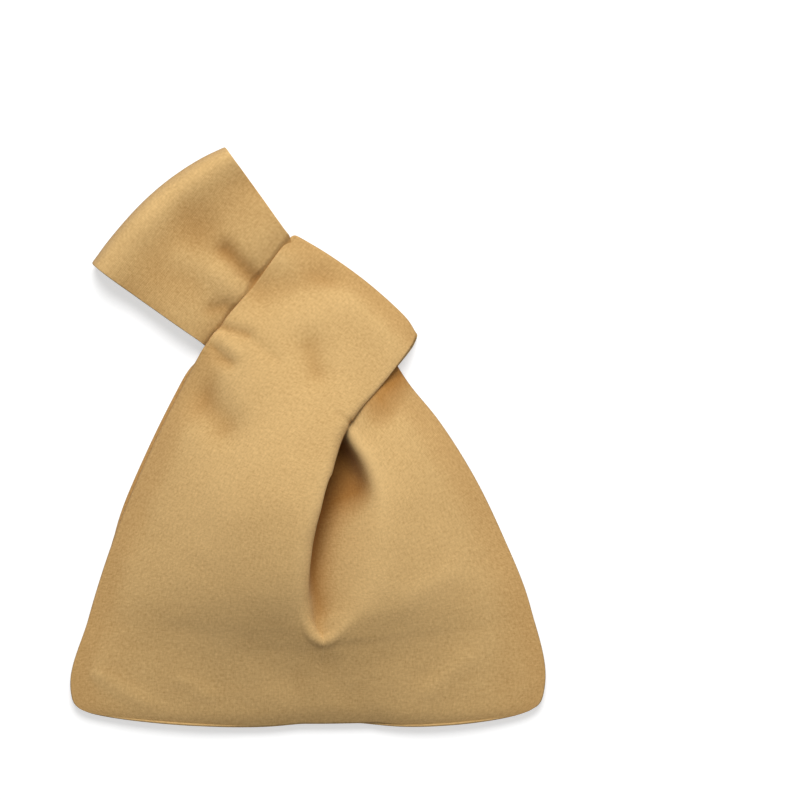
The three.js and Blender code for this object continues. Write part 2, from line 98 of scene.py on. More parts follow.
def along(a, b, share):
    """Plan point at a share of the way from a to b."""
    return np.asarray(a, float) + (np.asarray(b, float) - np.asarray(a, float)) * share


print("a line through 0, 4 and 0 is", through((0, 0), (0.5, 4), (1, 0))(0.25), "high at a quarter")

# %% [markdown]
# The knot is where the short loop grips the long strap. It has directions of its own: u runs out along
# the wrist loop, and v runs across it, along the short loop. They could be typed in as angles. But both
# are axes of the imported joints, so they are read from the frame, and the cloth always fits the joints.

# %% Knot directions
BEND_OUT = 3.5  # the wrist loop bends this far outside the short loop's edge
swing = joints["wrist_loop_swing"]
bend = np.array(swing["pos_m"]) / MM
OUT_WAY = np.array(joints["knot_slide"]["axis"][:2])
LOOP_WAY = np.array(swing["axis"][:2])


def knot(u, v):
    """Plan point u out along the wrist loop and v along the short loop."""
    return bend[:2] + (u - BEND_OUT) * OUT_WAY + v * LOOP_WAY


print("the wrist loop points to", OUT_WAY.round(2), "and the short loop to", LOOP_WAY.round(2))

# %% Corners of the knot
LOOP_LENGTH = 69  # short loop, along v
LOOP_WIDTH = 78  # short loop, along u
LOOP_SKEW = 13.5  # its inner edge starts this much further along v
LAP_START = -75.8  # u where its inner edge leaves the lip
loop_foot = knot(0, -LOOP_LENGTH / 2)
loop_tip = knot(0, LOOP_LENGTH / 2)
lap_end = knot(LAP_START, LOOP_SKEW - LOOP_LENGTH / 2)
loop_corner = knot(-LOOP_WIDTH, LOOP_LENGTH / 2)
STRAP_WIDTH = 62  # the long strap, gathered by the knot
STRAP_ROOT = -49.5  # u where the right half becomes the strap
STRAP_LOW = -34.2  # v of the strap's lower edge
print("short loop from", loop_foot.round(1), "to", loop_corner.round(1))

# %% [markdown]
# The body is a wide pouch that narrows to the knot. Its plan is drawn first, as a pattern is chalked.
# A row is 0 at the bottom seam and 1 at the knot, and each line gives a plan point for a row. A grid
# could be pulled into this outline by hand, but lines with stops can be changed one at a time.

# %% Side seams in plan
MIDDLE = 0.6  # x of the middle of the bottom seam's corners
HALF = 114  # half of the width over the bottom corners
BODY_LENGTH = 174
bottom = loop_foot[1] - BODY_LENGTH


def beside(side, share, rise):
    """Plan point at shares of the half width and the length. side is -1 on the left, 1 on the right."""
    return MIDDLE + side * share * HALF, bottom + rise * BODY_LENGTH


left_edge = through(
    (0, *beside(-1, 0.95, 0)),
    (0.03, *beside(-1, 0.985, 0.016)),
    (0.07, *beside(-1, 1, 0.055)),
    (0.25, *beside(-1, 0.925, 0.25)),
    (0.5, *beside(-1, 0.8, 0.5)),
    (0.75, *beside(-1, 0.635, 0.75)),
    (1, *loop_foot),
)
right_edge = through(
    (0, *beside(1, 0.925, 0)),
    (0.03, *beside(1, 0.97, 0.016)),
    (0.07, *beside(1, 0.99, 0.06)),
    (0.25, *beside(1, 0.934, 0.277)),
    (0.45, *beside(1, 0.816, 0.477)),
    (0.6, *beside(1, 0.693, 0.643)),
    (0.74, *beside(1, 0.544, 0.797)),
    (0.87, *beside(1, 0.395, 0.92)),
    (1, *knot(STRAP_ROOT, STRAP_LOW + STRAP_WIDTH)),
)
print("half way up, the body is", round(math.dist(left_edge(0.5), right_edge(0.5))), "mm wide")

# %% [markdown]
# On the front, the left half laps over the right half. The lip is the edge of that lap, and the ridge is
# the soft crest on the other side of the hollow. Higher up the fold opens into the mouth. From there the
# lip is the left half's free edge, and the mouth's edge is the right half's. A sculpting brush could dig
# such a fold, but lines put it where the real one lies.

# %% Lip, ridge and mouth in plan
BOTTOM_BOW = 6  # the bottom seam's middle hangs this far below its corners
MOUTH_ROW = 0.8  # row where the fold opens into the mouth
lip = through(
    (0, 8.6, bottom - BOTTOM_BOW),
    (0.12, 8.6, -118.2),
    (0.19, 8.4, -105.5),
    (0.22, 8, -100.6),
    (0.235, 7.4, -98.4),
    (0.25, 5.4, -96.2),
    (0.265, 3.8, -94),
    (0.29, 2.2, -90.2),
    (0.335, 1.4, -84),
    (0.385, 1, -78.2),
    (0.45, 1.1, -70.7),
    (0.58, 3, -52.7),
    (0.72, 8, -32.7),
    (0.88, 14.2, -9.7),
    (1, *lap_end),
)
ridge = through(
    (0, 34, bottom - BOTTOM_BOW + 0.5),
    (0.12, 24, -117.7),
    (0.19, 16, -105.1),
    (0.22, 13, -100.3),
    (0.235, 14, -98.2),
    (0.25, 16.2, -96),
    (0.265, 18.4, -93.6),
    (0.29, 21.5, -89.7),
    (0.335, 26, -84.2),
    (0.385, 29.5, -78.2),
    (0.45, 32, -70.7),
    (0.58, 33.6, -50.7),
    (0.7, 33.8, -31.7),
    (0.8, 30, -19.2),
    (0.86, 24.8, -9.2),
    (0.91, 18.6, -0.7),
    (0.955, 12.8, 8.8),
    (1, *(knot(STRAP_ROOT, STRAP_LOW + 9))),
)
mouth = through(
    (0.8, 6, -21.2),
    (0.86, 8, -13.7),
    (0.91, 7, -6.7),
    (0.955, 0, 2.3),
    (1, *knot(STRAP_ROOT, STRAP_LOW)),
)
print("at row 0.6 the hollow is", round(math.dist(lip(0.6), ridge(0.6))), "mm wide")

# %% [markdown]
# Heights over the table are lines too, one along each line of the plan. The left half climbs to the lip,
# the floor of the fold lies well below it, and the right half swells up to its ridge and sinks to the
# strap. A height picture could hold all this at once, but it can't show cloth that lies under a lip.

# %% Heights along the lip and in the fold
SEAM_HEIGHT = 4.2  # front and back meet this far above the table
lip_height = through(
    (0, SEAM_HEIGHT),
    (0.03, 7.2),
    (0.07, 9.6),
    (0.12, 12.4),
    (0.19, 17.1),
    (0.22, 19.5),
    (0.235, 20.6),
    (0.25, 21.6),
    (0.265, 22.7),
    (0.29, 24.7),
    (0.335, 27.8),
    (0.385, 30.4),
    (0.45, 32.8),
    (0.58, 36.2),
    (0.7, 37.2),
    (0.85, 33.5),
    (1, 26.5),
)
floor_height = through(
    (0.12, 12.4),
    (0.19, 17.1),
    (0.22, 19.5),
    (0.235, 20.3),
    (0.25, 20),
    (0.265, 19.4),
    (0.29, 18.7),
    (0.335, 17.7),
    (0.385, 17),
    (0.45, 16.4),
    (0.58, 14.2),
    (0.7, 11),
    (0.8, 6.5),
)
print("at row 0.6 the lip stands", round(lip_height(0.6), 1), "mm up, the floor", round(floor_height(0.6), 1))

# %% Heights along the ridge and the mouth
STRAP_FRONT = 5.2  # inner face of the strap's front cloth in the knot
ridge_height = through(
    (0, SEAM_HEIGHT),
    (0.03, 7.2),
    (0.07, 9.6),
    (0.12, 12.5),
    (0.19, 17.2),
    (0.22, 19.6),
    (0.235, 20.8),
    (0.25, 21.6),
    (0.265, 22.4),
    (0.29, 23.7),
    (0.335, 25.1),
    (0.385, 26),
    (0.45, 26.7),
    (0.58, 27.2),
    (0.7, 26.2),
    (0.8, 24.5),
    (0.86, 23),
    (0.91, 21),
    (0.955, 18.5),
    (1, STRAP_FRONT),
)
mouth_height = through((0.8, 6.5), (0.86, 5.4), (0.91, 5.2), (0.955, 5.2), (1, STRAP_FRONT))
print("at row 0.6 the ridge stands", round(ridge_height(0.6), 1), "mm up")

# %% [markdown]
# The front cloth is a net of points in rows and columns. Across each row it runs from the left seam up
# to the lip, rolls under, goes into the hidden fold, comes out as the hollow's floor, climbs to the ridge
# and falls to the right seam. Below the fold's end the same columns simply lie side by side. A fold could
# be cut into a finished mesh, but a net whose columns go round it from the start stays smooth.

# %% Columns of the fold
FOLD_COLUMNS = 10
LYING_ROW = 0.12  # below this row the cloth has no fold
VALLEY_ROW = 0.22  # above this row it has a full valley
HOLLOW_ROW = 0.6  # from this row on the hollow's floor sinks and widens towards the mouth
LYING_START = -13  # step sideways from the lip to the first column, without a fold
ROLL = ((-9, 0), (-4.8, 0.3), (-1.4, 1.7), (-0.2, 4.6))  # steps sideways and down round the lip
FOLD_REACH = 9  # how far the fold goes in under the lip
overhang = through(
    # row, share of that reach
    (0, 0),
    (0.3, 0),
    (0.36, 0.1),
    (0.4, 0.3),
    (0.47, 0.5),
    (0.6, 0.65),
    (0.75, 0.95),
    (0.8, 1),
    (1, 1),
)


def fold_columns(row):
    """Points from the lap's flank to the ridge: side by side, then round a valley, then under the lip."""
    x, y = lip(row)
    ridge_x, ridge_y = ridge(row)
    top, crest = lip_height(row), ridge_height(row)
    floor = floor_height(np.clip(row, LYING_ROW, MOUTH_ROW)) if row > LYING_ROW else top
    drop = top - floor
    wide = ridge_x - x
    under = overhang(row)
    reach = FOLD_REACH * under
    hollow = ease(row, HOLLOW_ROW, MOUTH_ROW)

    def climb(share):
        """Height at a share of the climb from the floor to the ridge."""
        return mix(floor, crest, share)

    valley = [
        (-9, top),
        (-5, top - 0.02 * drop),
        (-2, top - 0.12 * drop),
        (0, top - 0.36 * drop),
        (0.03 * wide, top - 0.62 * drop),
        (0.1 * wide, top - 0.86 * drop),
        (0.24 * wide, floor),
        (0.45 * wide, climb(0.36)),
        (0.72 * wide, climb(0.78)),
        (wide, crest),
    ]
    lapped = [(side, top - down) for side, down in ROLL]
    lapped += [
        (-0.8 * reach, top - 0.45 * drop),
        (-reach, top - 0.75 * drop),
        (-0.5 * reach, floor),
        (0.24 * wide, climb(mix(0.24, 0, hollow))),
        (mix(0.6, 0.7, hollow) * wide, climb(mix(0.72, 0.24, hollow))),
        (wide, crest),
    ]
    spread = np.linspace(LYING_START, wide, FOLD_COLUMNS)
    lying = [(side, mix(top, crest, np.clip(side / wide, 0, 1))) for side in spread]
    steps = along(along(lying, valley, ease(row, LYING_ROW, VALLEY_ROW)), lapped, under)
    points = [(x + side, mix(y, ridge_y, np.clip(side / wide, 0, 1)), height) for side, height in steps]
    return np.array(points)


print("the fold goes in by", [round(FOLD_REACH * overhang(row), 1) for row in (0.4, 0.6, MOUTH_ROW)], "mm")

# %% Columns past the end of the fold
OPEN_AT = 6  # the fold's columns before this one stay with the left half


def open_columns(row):
    """The right half past the end of the fold: mouth's edge, two points up its roll, ridge."""
    edge, crest = np.array(mouth(row)), np.array(ridge(row))
    low, high = mouth_height(row), ridge_height(row)
    return [
        (*edge, low),
        (*along(edge, crest, 0.42), low),
        (*along(edge, crest, 0.78), mix(low, high, 0.2)),
        (*crest, high),
    ]


print("at row 0.9 the mouth's roll is", round(math.dist(mouth(0.9), ridge(0.9))), "mm deep")

# %% From a crest down to a seam
EDGE_STEPS = (0, 3, 8, 15)  # distances from a seam of the last columns
LOW_BOW = 4  # the bottom seam swells between its middle and its corners
LOW_BOW_ROW = 0.16  # and the swell has gone at this row


def low_bow(row, share):
    """Swell of the bottom seam at a share of the way from its middle to a corner."""
    return -LOW_BOW * (1 - ease(row, 0, LOW_BOW_ROW)) * (4 * share * (1 - share)) ** 0.7


def to_seam(row, start, edge, seam_height, shares, power):
    """Points from start down to a seam, with the last ones at fixed distances from it."""
    reach = math.dist(start[:2], edge)
    shares = list(shares) + [1 - step / reach for step in reversed(EDGE_STEPS)]
    drop = start[2] - seam_height
    flat = [along(start[:2], edge, s) + (0, low_bow(row, s)) for s in shares]
    return [(*place, start[2] - drop * s**power) for place, s in zip(flat, shares)]


print("the bottom seam swells by up to", -low_bow(0, 0.5), "mm")

# %% [markdown]
# Where the right half goes in under the short loop, its cloth is pushed up into a soft shoulder. A second
# fold could be modelled for it. But it is low and wide, so a rise that fades with the distance from the
# loop's inner edge is enough.

# %% Shoulder beside the short loop
SHOULDER = 6  # the right half stands up to the loop's inner edge by this much
SHOULDER_WIDTH = 8
SHOULDER_STARTS = (-0.1, 0.3)  # shares along that edge over which the shoulder comes
SHOULDER_ENDS = (0.35, 0.75)  # and over which it goes


def beside_loop(place):
    """Share along the loop's inner edge and distance from it."""
    way = loop_corner - lap_end
    share = float(np.dot(np.subtract(place, lap_end), way) / np.dot(way, way))
    return share, math.dist(place, along(lap_end, loop_corner, share))


def shoulder(place):
    """Rise of the right half where it goes in under the loop's inner edge."""
    share, away = beside_loop(place)
    held = ease(share, *SHOULDER_STARTS) * (1 - ease(share, *SHOULDER_ENDS))
    return SHOULDER * math.exp(-((away / SHOULDER_WIDTH) ** 2)) * held


print("the shoulder rises", round(shoulder(along(lap_end, loop_corner, 0.3)), 1), "mm beside the loop")

# %% A whole row of the front
LEFT_SHARES = (0.3, 0.45, 0.6, 0.74, 0.88)
RIGHT_SHARES = (0.14, 0.3, 0.46, 0.62)
LEFT_FALL = 2  # power of the fall to the seam: above 1 it is full, below 1 it is hollow
RIGHT_FALL = (1.8, 0.75)  # the same on the right, below the mouth and beside it
RIGHT_FALL_ROW = 0.92  # where the second one is reached
LOOP_FRONT = 7.6  # inner face of the short loop's front
LOOP_MEETS = (0.93, 1)  # rows over which the left edge leaves the seam for the loop
STRAP_MEETS = (0.85, 1)  # rows over which the right edge leaves the seam for the strap
SHOULDER_ROWS = (0.78, 0.86)  # rows over which the shoulder comes
FOLD_AT = len(EDGE_STEPS) + len(LEFT_SHARES)  # the fold's first column
LIP_AT = FOLD_AT + len(ROLL) - 1  # the left half's free edge, past the fold
FLOOR_AT = FOLD_AT + OPEN_AT  # the right half's free edge


def front_row(row):
    """One row of the front, from the left seam to the right seam."""
    fold = fold_columns(row)
    left_height = mix(SEAM_HEIGHT, LOOP_FRONT, ease(row, *LOOP_MEETS))
    left_shares = [1 - share for share in reversed(LEFT_SHARES)]
    left = to_seam(row, fold[0], left_edge(row), left_height, left_shares, LEFT_FALL)
    if row > MOUTH_ROW:
        fold = np.array([*fold[:OPEN_AT], *open_columns(row)])
    right_height = mix(SEAM_HEIGHT, STRAP_FRONT, ease(row, *STRAP_MEETS))
    right_fall = mix(*RIGHT_FALL, ease(row, MOUTH_ROW, RIGHT_FALL_ROW))
    right = to_seam(row, fold[-1], right_edge(row), right_height, RIGHT_SHARES, right_fall)
    shown = ease(row, *SHOULDER_ROWS)
    right = [(x, y, height + shoulder((x, y)) * shown) for x, y, height in right]
    return np.array([*left[::-1], *fold, *right])


print("a row of the front has", len(front_row(0.5)), "points")

# %% [markdown]
# The short loop is the left half's own cloth. It goes on over the strap to a top seam, and its free edge
# is turned under. It could be a band of its own that is joined to the body. But the real one has no join
# there, so the left half's columns simply run on.

# %% Plan of the short loop
LOOP_BOW = 3.5  # its top edge swells outwards
INNER_BOW = 0.6  # and so does its inner edge, a little
CORNER_PULL = 2.4  # its far corner is rounded by this much
CORNER_FROM = (0.86, 0.84)  # from these shares of its width and its length


def bowed(a, b, bow, share):
    """Plan point on the way from a to b, swelling to the right of it by bow at the middle."""
    way = np.asarray(b) - np.asarray(a)
    across = np.array([way[1], -way[0]]) / np.linalg.norm(way)
    return along(a, b, share) + across * 4 * share * (1 - share) * bow


def loop_plan(share, row):
    """Plan point at a share of the loop's width from its outer edge, and of its length from its foot."""
    flat = along(along(loop_foot, lap_end, share), along(loop_tip, loop_corner, share), row)
    inner = bowed(lap_end, loop_corner, INNER_BOW, row) - along(lap_end, loop_corner, row)
    top = bowed(loop_tip, loop_corner, -LOOP_BOW, share) - along(loop_tip, loop_corner, share)
    corner = (ease(share, CORNER_FROM[0], 1) * ease(row, CORNER_FROM[1], 1)) ** 1.5 * CORNER_PULL
    pulled = corner * (loop_foot - loop_corner) / math.dist(loop_foot, loop_corner)
    return flat + share * inner + row * top + pulled


print("the loop's top seam is", round(math.dist(loop_plan(0, 1), loop_plan(1, 1))), "mm long")

# %% Rows of the short loop
LOOP_BULGE = 2.5  # its middle stands this much higher over the gathered strap
LOOP_TURNS = (0, 0.2)  # rows over which its free edge turns under
LOOP_SEWN = (0.45, 1)  # rows over which that edge flattens out into the top seam
LOOP_CLOSES = (0.72, 1)  # rows over which it comes down to the top seam
LOOP_FREE = 0.9  # columns past this share of the width may lie under the lip
# Its last columns, counted back from the free edge: place across and drop, turned under and at the seam
TURNED_EDGE = {0: (1.0, 1.2), 1: (0.996, 0.3), 2: (0.98, 0), 3: (0.93, 0)}
SEWN_EDGE = {0: (1.0, 0), 1: (0.95, 0), 2: (0.89, 0), 3: (0.82, 0)}


def loop_row(row, base):
    """The short loop's row above the body's last row, which is its base."""
    points = []
    turned, sewn = ease(row, *LOOP_TURNS), ease(row, *LOOP_SEWN)
    for column, (x, y, height) in enumerate(base[: LIP_AT + 1]):
        share = math.dist((x, y), loop_foot) / math.dist(lap_end, loop_foot)
        under = max(0, base[FOLD_AT][2] - height) if share > LOOP_FREE else 0
        back = LIP_AT - column
        if back in TURNED_EDGE:
            share, under = along(along((share, under), TURNED_EDGE[back], turned), SEWN_EDGE[back], sewn)
        settled = LOOP_FRONT + LOOP_BULGE * math.sin(math.pi * min(share, 1))
        top = mix(base[min(column, FOLD_AT)][2], settled, 1 - (1 - row) ** 1.3)
        closed = mix(top - under, SEAM_HEIGHT, ease(row, *LOOP_CLOSES) ** 2)
        points.append((*loop_plan(share, row), closed))
    return np.array(points)


print("the loop's middle stands", LOOP_FRONT + LOOP_BULGE, "mm up")

# %% [markdown]
# Now the rows are laid on each other. They lie closest where the fold starts, because the cloth turns
# fastest there. The loop's rows follow above the left half only. Cloth has no kink where the body becomes
# the loop, so the rows there are evened out. Even rows and more smoothing would be simpler, but they would
# blunt the fold's sharp end.

# %% Net of the front
BODY_ROWS = np.concatenate(
    [
        np.linspace(0, 0.1, 6),
        np.linspace(0.12, 0.2, 5),
        np.linspace(0.215, 0.32, 10),
        np.linspace(0.34, MOUTH_ROW, 14),
        np.linspace(0.83, 1, 7),
    ]
)
LOOP_ROWS = np.linspace(0, 1, 13)[1:]
MOUTH_AT = int(np.searchsorted(BODY_ROWS, MOUTH_ROW))
KNOT_AT = len(BODY_ROWS) - 1
body_points = np.array([front_row(row) for row in BODY_ROWS])
COLUMNS = body_points.shape[1]
front_points = np.full((len(BODY_ROWS) + len(LOOP_ROWS), COLUMNS, 3), np.nan)
front_points[: len(BODY_ROWS)] = body_points
for i, row in enumerate(LOOP_ROWS):
    front_points[len(BODY_ROWS) + i, : LIP_AT + 1] = loop_row(row, body_points[-1])
EASE_ROWS = 5  # rows either side of the loop's foot over which the cloth eases
EASE_TURNS = 8  # rounds of easing
for turn in range(EASE_TURNS):
    for r in range(KNOT_AT - EASE_ROWS, KNOT_AT + EASE_ROWS):
        near = front_points[r - 1 : r + 2, 1 : LIP_AT + 1]
        front_points[r, 1 : LIP_AT + 1] = (near[0] + 2 * near[1] + near[2]) / 4
print("front net", front_points.shape, "mouth at row", MOUTH_AT)

# %% [markdown]
# A net becomes a sheet: quads between its points, a map of its flat cut for the weave, and two rounds of
# the Subdivision Surface modifier. A net as fine as the result would need no modifier, but its lines would
# show every small unevenness of the stops. The modifier is baked at once, so that the next steps can work
# on the smooth points.

# %% Lengths, new objects and baking
def lengths(points, axis):
    """Running length along the rows or columns of a net, in millimetres."""
    steps = np.nan_to_num(np.linalg.norm(np.diff(points, axis=axis), axis=2))
    start = np.zeros_like(points[..., 0]).take([0], axis=axis)
    return np.concatenate([start, np.cumsum(steps, axis=axis)], axis=axis)


def new_object(name, mesh):
    made = bpy.data.objects.new(name, mesh)
    bpy.context.scene.collection.objects.link(made)
    return made


def bake(piece):
    """Turns a piece with its modifiers into a plain mesh."""
    graph = bpy.context.evaluated_depsgraph_get()
    graph.update()
    mesh = bpy.data.meshes.new_from_object(piece.evaluated_get(graph))
    old = piece.data
    piece.modifiers.clear()
    piece.data = mesh
    bpy.data.meshes.remove(old)
    return piece


print("along the bottom seam the front measures", lengths(front_points, 1)[0, -1].round(), "mm")

# %% From a net to a smooth sheet
SMOOTHING = 2  # rounds of smoothing
DOUBLES = 1e-6  # points closer than this, in metres, become one


def sheet_from_net(name, points, has_cell, cut, marks, facing):
    """A smooth sheet without thickness.

    cut holds the flat place of each point, and marks its other values by name. facing is positive where
    the net is seen from its outside.
    """
    rows, columns = points.shape[:2]
    cells = [
        [(r, c), (r, c + 1), (r + 1, c + 1), (r + 1, c)]
        for r in range(rows - 1)
        for c in range(columns - 1)
        if has_cell(r, c)
    ]
    if facing < 0:
        cells = [cell[::-1] for cell in cells]
    used = sorted({corner for cell in cells for corner in cell})
    order = {corner: i for i, corner in enumerate(used)}
    mesh = bpy.data.meshes.new(name)
    corners = [tuple(points[corner] * MM) for corner in used]
    mesh.from_pydata(corners, [], [[order[corner] for corner in cell] for cell in cells])
    flat = mesh.uv_layers.new(name="cut")
    for mark, values in marks.items():
        stored = mesh.attributes.new(mark, "FLOAT", "POINT")
        stored.data.foreach_set("value", [values[corner] for corner in used])
    for loop in mesh.loops:
        flat.data[loop.index].uv = cut[used[loop.vertex_index]] * MM
    made = new_object(name, mesh)
    merge = bmesh.new()
    merge.from_mesh(mesh)
    bmesh.ops.remove_doubles(merge, verts=merge.verts, dist=DOUBLES)
    merge.to_mesh(mesh)
    merge.free()
    smooth = made.modifiers.new("smooth", "SUBSURF")
    smooth.levels = smooth.render_levels = SMOOTHING
    bake(made)
    made.data.polygons.foreach_set("use_smooth", [True] * len(made.data.polygons))
    print(name, len(made.data.vertices), "points")
    return made


# %% [markdown]
# The front is one cut of cloth. Three values go with each of its points into the finish: its flat place
# in the cut, its distance from the nearest sewn edge, and a share of painted shade, a deeper colour
# painted where shade falls: in the fold, in the short loop's shadow and along the seams. The flat place
# could come from unwrapping. But an unwrap doesn't know how the threads run, and lengths along the net do.

# %% Flat cut of the front
CUT_WIDTH = 230  # the flat cut, across the body


def front_cut():
    """Flat place of each point of the front, across and up the cut."""
    across = lengths(front_points, 1)
    whole = across[:, -1].copy()
    scale = CUT_WIDTH / whole[MOUTH_AT]
    past = np.arange(len(across)) > MOUTH_AT
    left = np.where(past, scale, CUT_WIDTH / np.maximum(whole, 1))[:, None] * across
    from_right = np.cumsum(np.diff(across, axis=1)[:, ::-1], axis=1)[:, ::-1]
    from_right = np.concatenate([from_right, np.zeros((len(across), 1))], axis=1)
    past_right = past[:, None] & (np.arange(COLUMNS) >= FLOOR_AT)[None]
    across = np.where(past_right, CUT_WIDTH - from_right * scale, left)
    up = lengths(front_points, 0)
    up_left = np.nanmean(up[:, :FOLD_AT], axis=1)[:, None]
    up_right = np.nanmean(up[:, FLOOR_AT + 2 :], axis=1)[:, None]
    up = np.where(np.arange(COLUMNS)[None] <= LIP_AT, up_left, up_right)
    return np.stack([across, up], axis=2)


print("the cut is", CUT_WIDTH, "mm wide and", front_cut()[..., 1].max().round(), "mm long")

# %% Distance from the sewn edges
FAR = 99.0  # stands for no sewn edge at all


def seam_gap(points):
    """Distance of each point of a net from the sewn edges: sides, bottom and the loop's top."""
    gap = np.full(points.shape[:2], FAR)
    for r in range(len(BODY_ROWS)):
        for c in range(points.shape[1]):
            place = points[r, c, :2]
            sides = [math.dist(place, points[r, 0, :2]), math.dist(place, points[r, -1, :2])]
            gap[r, c] = min(*sides, place[1] - points[0, c, 1])
    for r, row in enumerate(LOOP_ROWS, len(BODY_ROWS)):
        gap[r] = (1 - row) * LOOP_LENGTH
    return gap


front_gap = seam_gap(front_points)
print("the front reaches", front_gap[: len(BODY_ROWS)].max().round(), "mm from its sewn edges")

# %% Painted shade of the front
# Shares of painted shade for the fold's columns: as an open valley, under the lip, and past the mouth
PAINTED_SHADE_VALLEY = (0, 0, 0, 0.05, 0.15, 0.25, 0.2, 0.05, 0, 0)
PAINTED_SHADE_LAPPED = (0, 0, 0, 0.05, 0.1, 0.1, 0.1, 0.08, 0.02, 0)
PAINTED_SHADE_MOUTH = (0, 0, 0, 0.4, 0.8, 0.8, 0.8, 0.9, 0.9, 0.45)
PAINTED_SHADE_OPENS = 0.58  # from this row the mouth's shares come in
PAINTED_SHADE_ROWS = (0.24, 0.36)  # rows over which the fold's painted shade starts
LOOP_SHADOW_BAND = 12  # width of the painted shadow beside the loop's inner edge
LOOP_SHADOW_STRENGTH = 1.4  # and its strength
LOOP_SHADOW_STARTS = (0.05, 0.35)  # shares along that edge over which the band starts
SEAM_SHADE = 0.28  # strength of the painted shade along the side seams and the loop's top
SEAM_SHADE_FADE = (4, 26)  # distances over which that band fades


def seam_shade(distance):
    return SEAM_SHADE * (1 - ease(distance, *SEAM_SHADE_FADE))


def front_painted_shade():
    """Share of painted shade along the seams, in the fold and in the short loop's shadow beside it."""
    painted_shade = seam_shade(front_gap)
    for r, row in enumerate(BODY_ROWS):
        place = front_points[r, :, :2]
        ends = [np.linalg.norm(place - place[k], axis=1) for k in (0, -1)]
        painted_shade[r] = seam_shade(np.minimum(*ends))
        lapped = along(PAINTED_SHADE_VALLEY, PAINTED_SHADE_LAPPED, overhang(row))
        fold = along(lapped, PAINTED_SHADE_MOUTH, ease(row, PAINTED_SHADE_OPENS, MOUTH_ROW)) * ease(row, *PAINTED_SHADE_ROWS)
        painted_shade[r, FOLD_AT : FOLD_AT + FOLD_COLUMNS] += fold
        # painted shadow of the short loop on the right half, beside its inner edge
        if row > MOUTH_ROW:
            for c in range(FOLD_AT + FOLD_COLUMNS - 1, COLUMNS):
                share, away = beside_loop(place[c])
                band = LOOP_SHADOW_STRENGTH * math.exp(-((away / LOOP_SHADOW_BAND) ** 2)) * ease(share, *LOOP_SHADOW_STARTS)
                painted_shade[r, c] = max(painted_shade[r, c], band)
    return painted_shade


front_marks = {"seam_gap": front_gap, "painted_shade": front_painted_shade()}
print("deep colour up to", front_marks["painted_shade"].max().round(2))

# %% Front sheet
def front_cell(row, column):
    """Whether the cloth covers the cell above this row and right of this column."""
    if row >= KNOT_AT:
        return column < LIP_AT
    return row < MOUTH_AT or column < LIP_AT or column >= FLOOR_AT


front_sheet = sheet_from_net("front_sheet", front_points, front_cell, front_cut(), front_marks, 1)
front_widths = lengths(front_points, 1)[: KNOT_AT + 1, -1]
print("the front's rows measure", front_widths.min().round(), "to", front_widths.max().round(), "mm")

# %% [markdown]
# The back lies flat on the table and curls up to the seams. It is the same cut as the front, so it needs
# a fold too: its left half lies lowest, the spare cloth turns back on it as a flat pleat, and the right
# half starts on top of the pleat. Past the notch the pleat is open and the two halves simply cross.
# Towards the knot the left edge rolls over and shows beside the front. A mirrored front would be quicker,
# but the table presses the real back flat, so it gets columns of its own.

# %% Pleat of the back
CANVAS = 0.9  # thickness of the outer cloth
PLEAT_REACH = 40  # depth of the pleat at the notch
PLEAT_LAYERS = (CANVAS, 2.1, 4.0)  # heights of its three layers
PLEAT_STEP = 2.6  # spacing of its columns where there is no pleat
PLEAT_NEAR = 5  # the columns beside a turn lie this near to it
PLEAT_ROWS = (0.1, 0.32)  # rows over which the pleat starts
pleat_depth = through((0, 0), (0.1, 0.02), (0.25, 0.2), (0.45, 0.55), (0.8, 1), (1, 1))


def pleat_columns(row):
    """Steps sideways from the lip and heights, from the left half to the right half."""
    reach = PLEAT_REACH * pleat_depth(row)
    near = min(reach / 3, PLEAT_NEAR)
    low, middle, high = PLEAT_LAYERS
    closed = [
        (-near, low),
        (-0.1 * near, low),
        (0.4, (low + middle) / 2),
        (-0.1 * near, middle),
        (-near, middle),
        (-reach / 2, middle),
        (near - reach, middle),
        (0.1 * near - reach, middle),
        (-0.4 - reach, (middle + high) / 2),
        (0.1 * near - reach, high),
        (near - reach, high),
        (-reach / 2, high),
        (0, high),
        (10, low + 0.3),
    ]
    lying = [((k - 6) * PLEAT_STEP, low) for k in range(len(closed))]
    return along(lying, closed, ease(row, *PLEAT_ROWS))


print("the pleat has", len(pleat_columns(0.5)), "columns")

# %% Where the halves of the back cross
STRAP_BACK = 3.1  # inner face of the strap's back cloth in the knot
PLEAT_TURN = 8  # the pleat's column at its inner turn, where the right half starts
PLEAT_LIFT = 2.2  # past the notch the right half rises by this much
SETTLED_ROW = 0.95  # where it has come to the strap's height
strap_corner = knot(STRAP_ROOT, STRAP_LOW)
notch = np.array(lip(MOUTH_ROW)) - (PLEAT_REACH, 0)
back_start = through((MOUTH_ROW, *notch), (0.9, *along(notch, strap_corner, 0.5)), (1, *strap_corner))


def crossed(row, steps):
    """The right half past the notch, from its free edge on."""
    settled = ease(row, MOUTH_ROW, SETTLED_ROW)
    high = mix(PLEAT_LAYERS[2], STRAP_BACK, settled)
    whole = math.dist(notch, right_edge(MOUTH_ROW))
    points = []
    for side, height in steps[PLEAT_TURN:]:
        place = along(back_start(row), right_edge(row), (side - steps[PLEAT_TURN][0]) / whole)
        points.append((*place, min(high, height + PLEAT_LIFT * settled)))
    return points


print("the notch of the back lies at", notch.round(1))

# %% Sides of the back
CURL = 15  # the back curls up over this distance from a seam
LOW_ROW = 0.2  # below this row it also curls up to the bottom seam
BACK_SHARES = (0.25, 0.42, 0.6, 0.8)
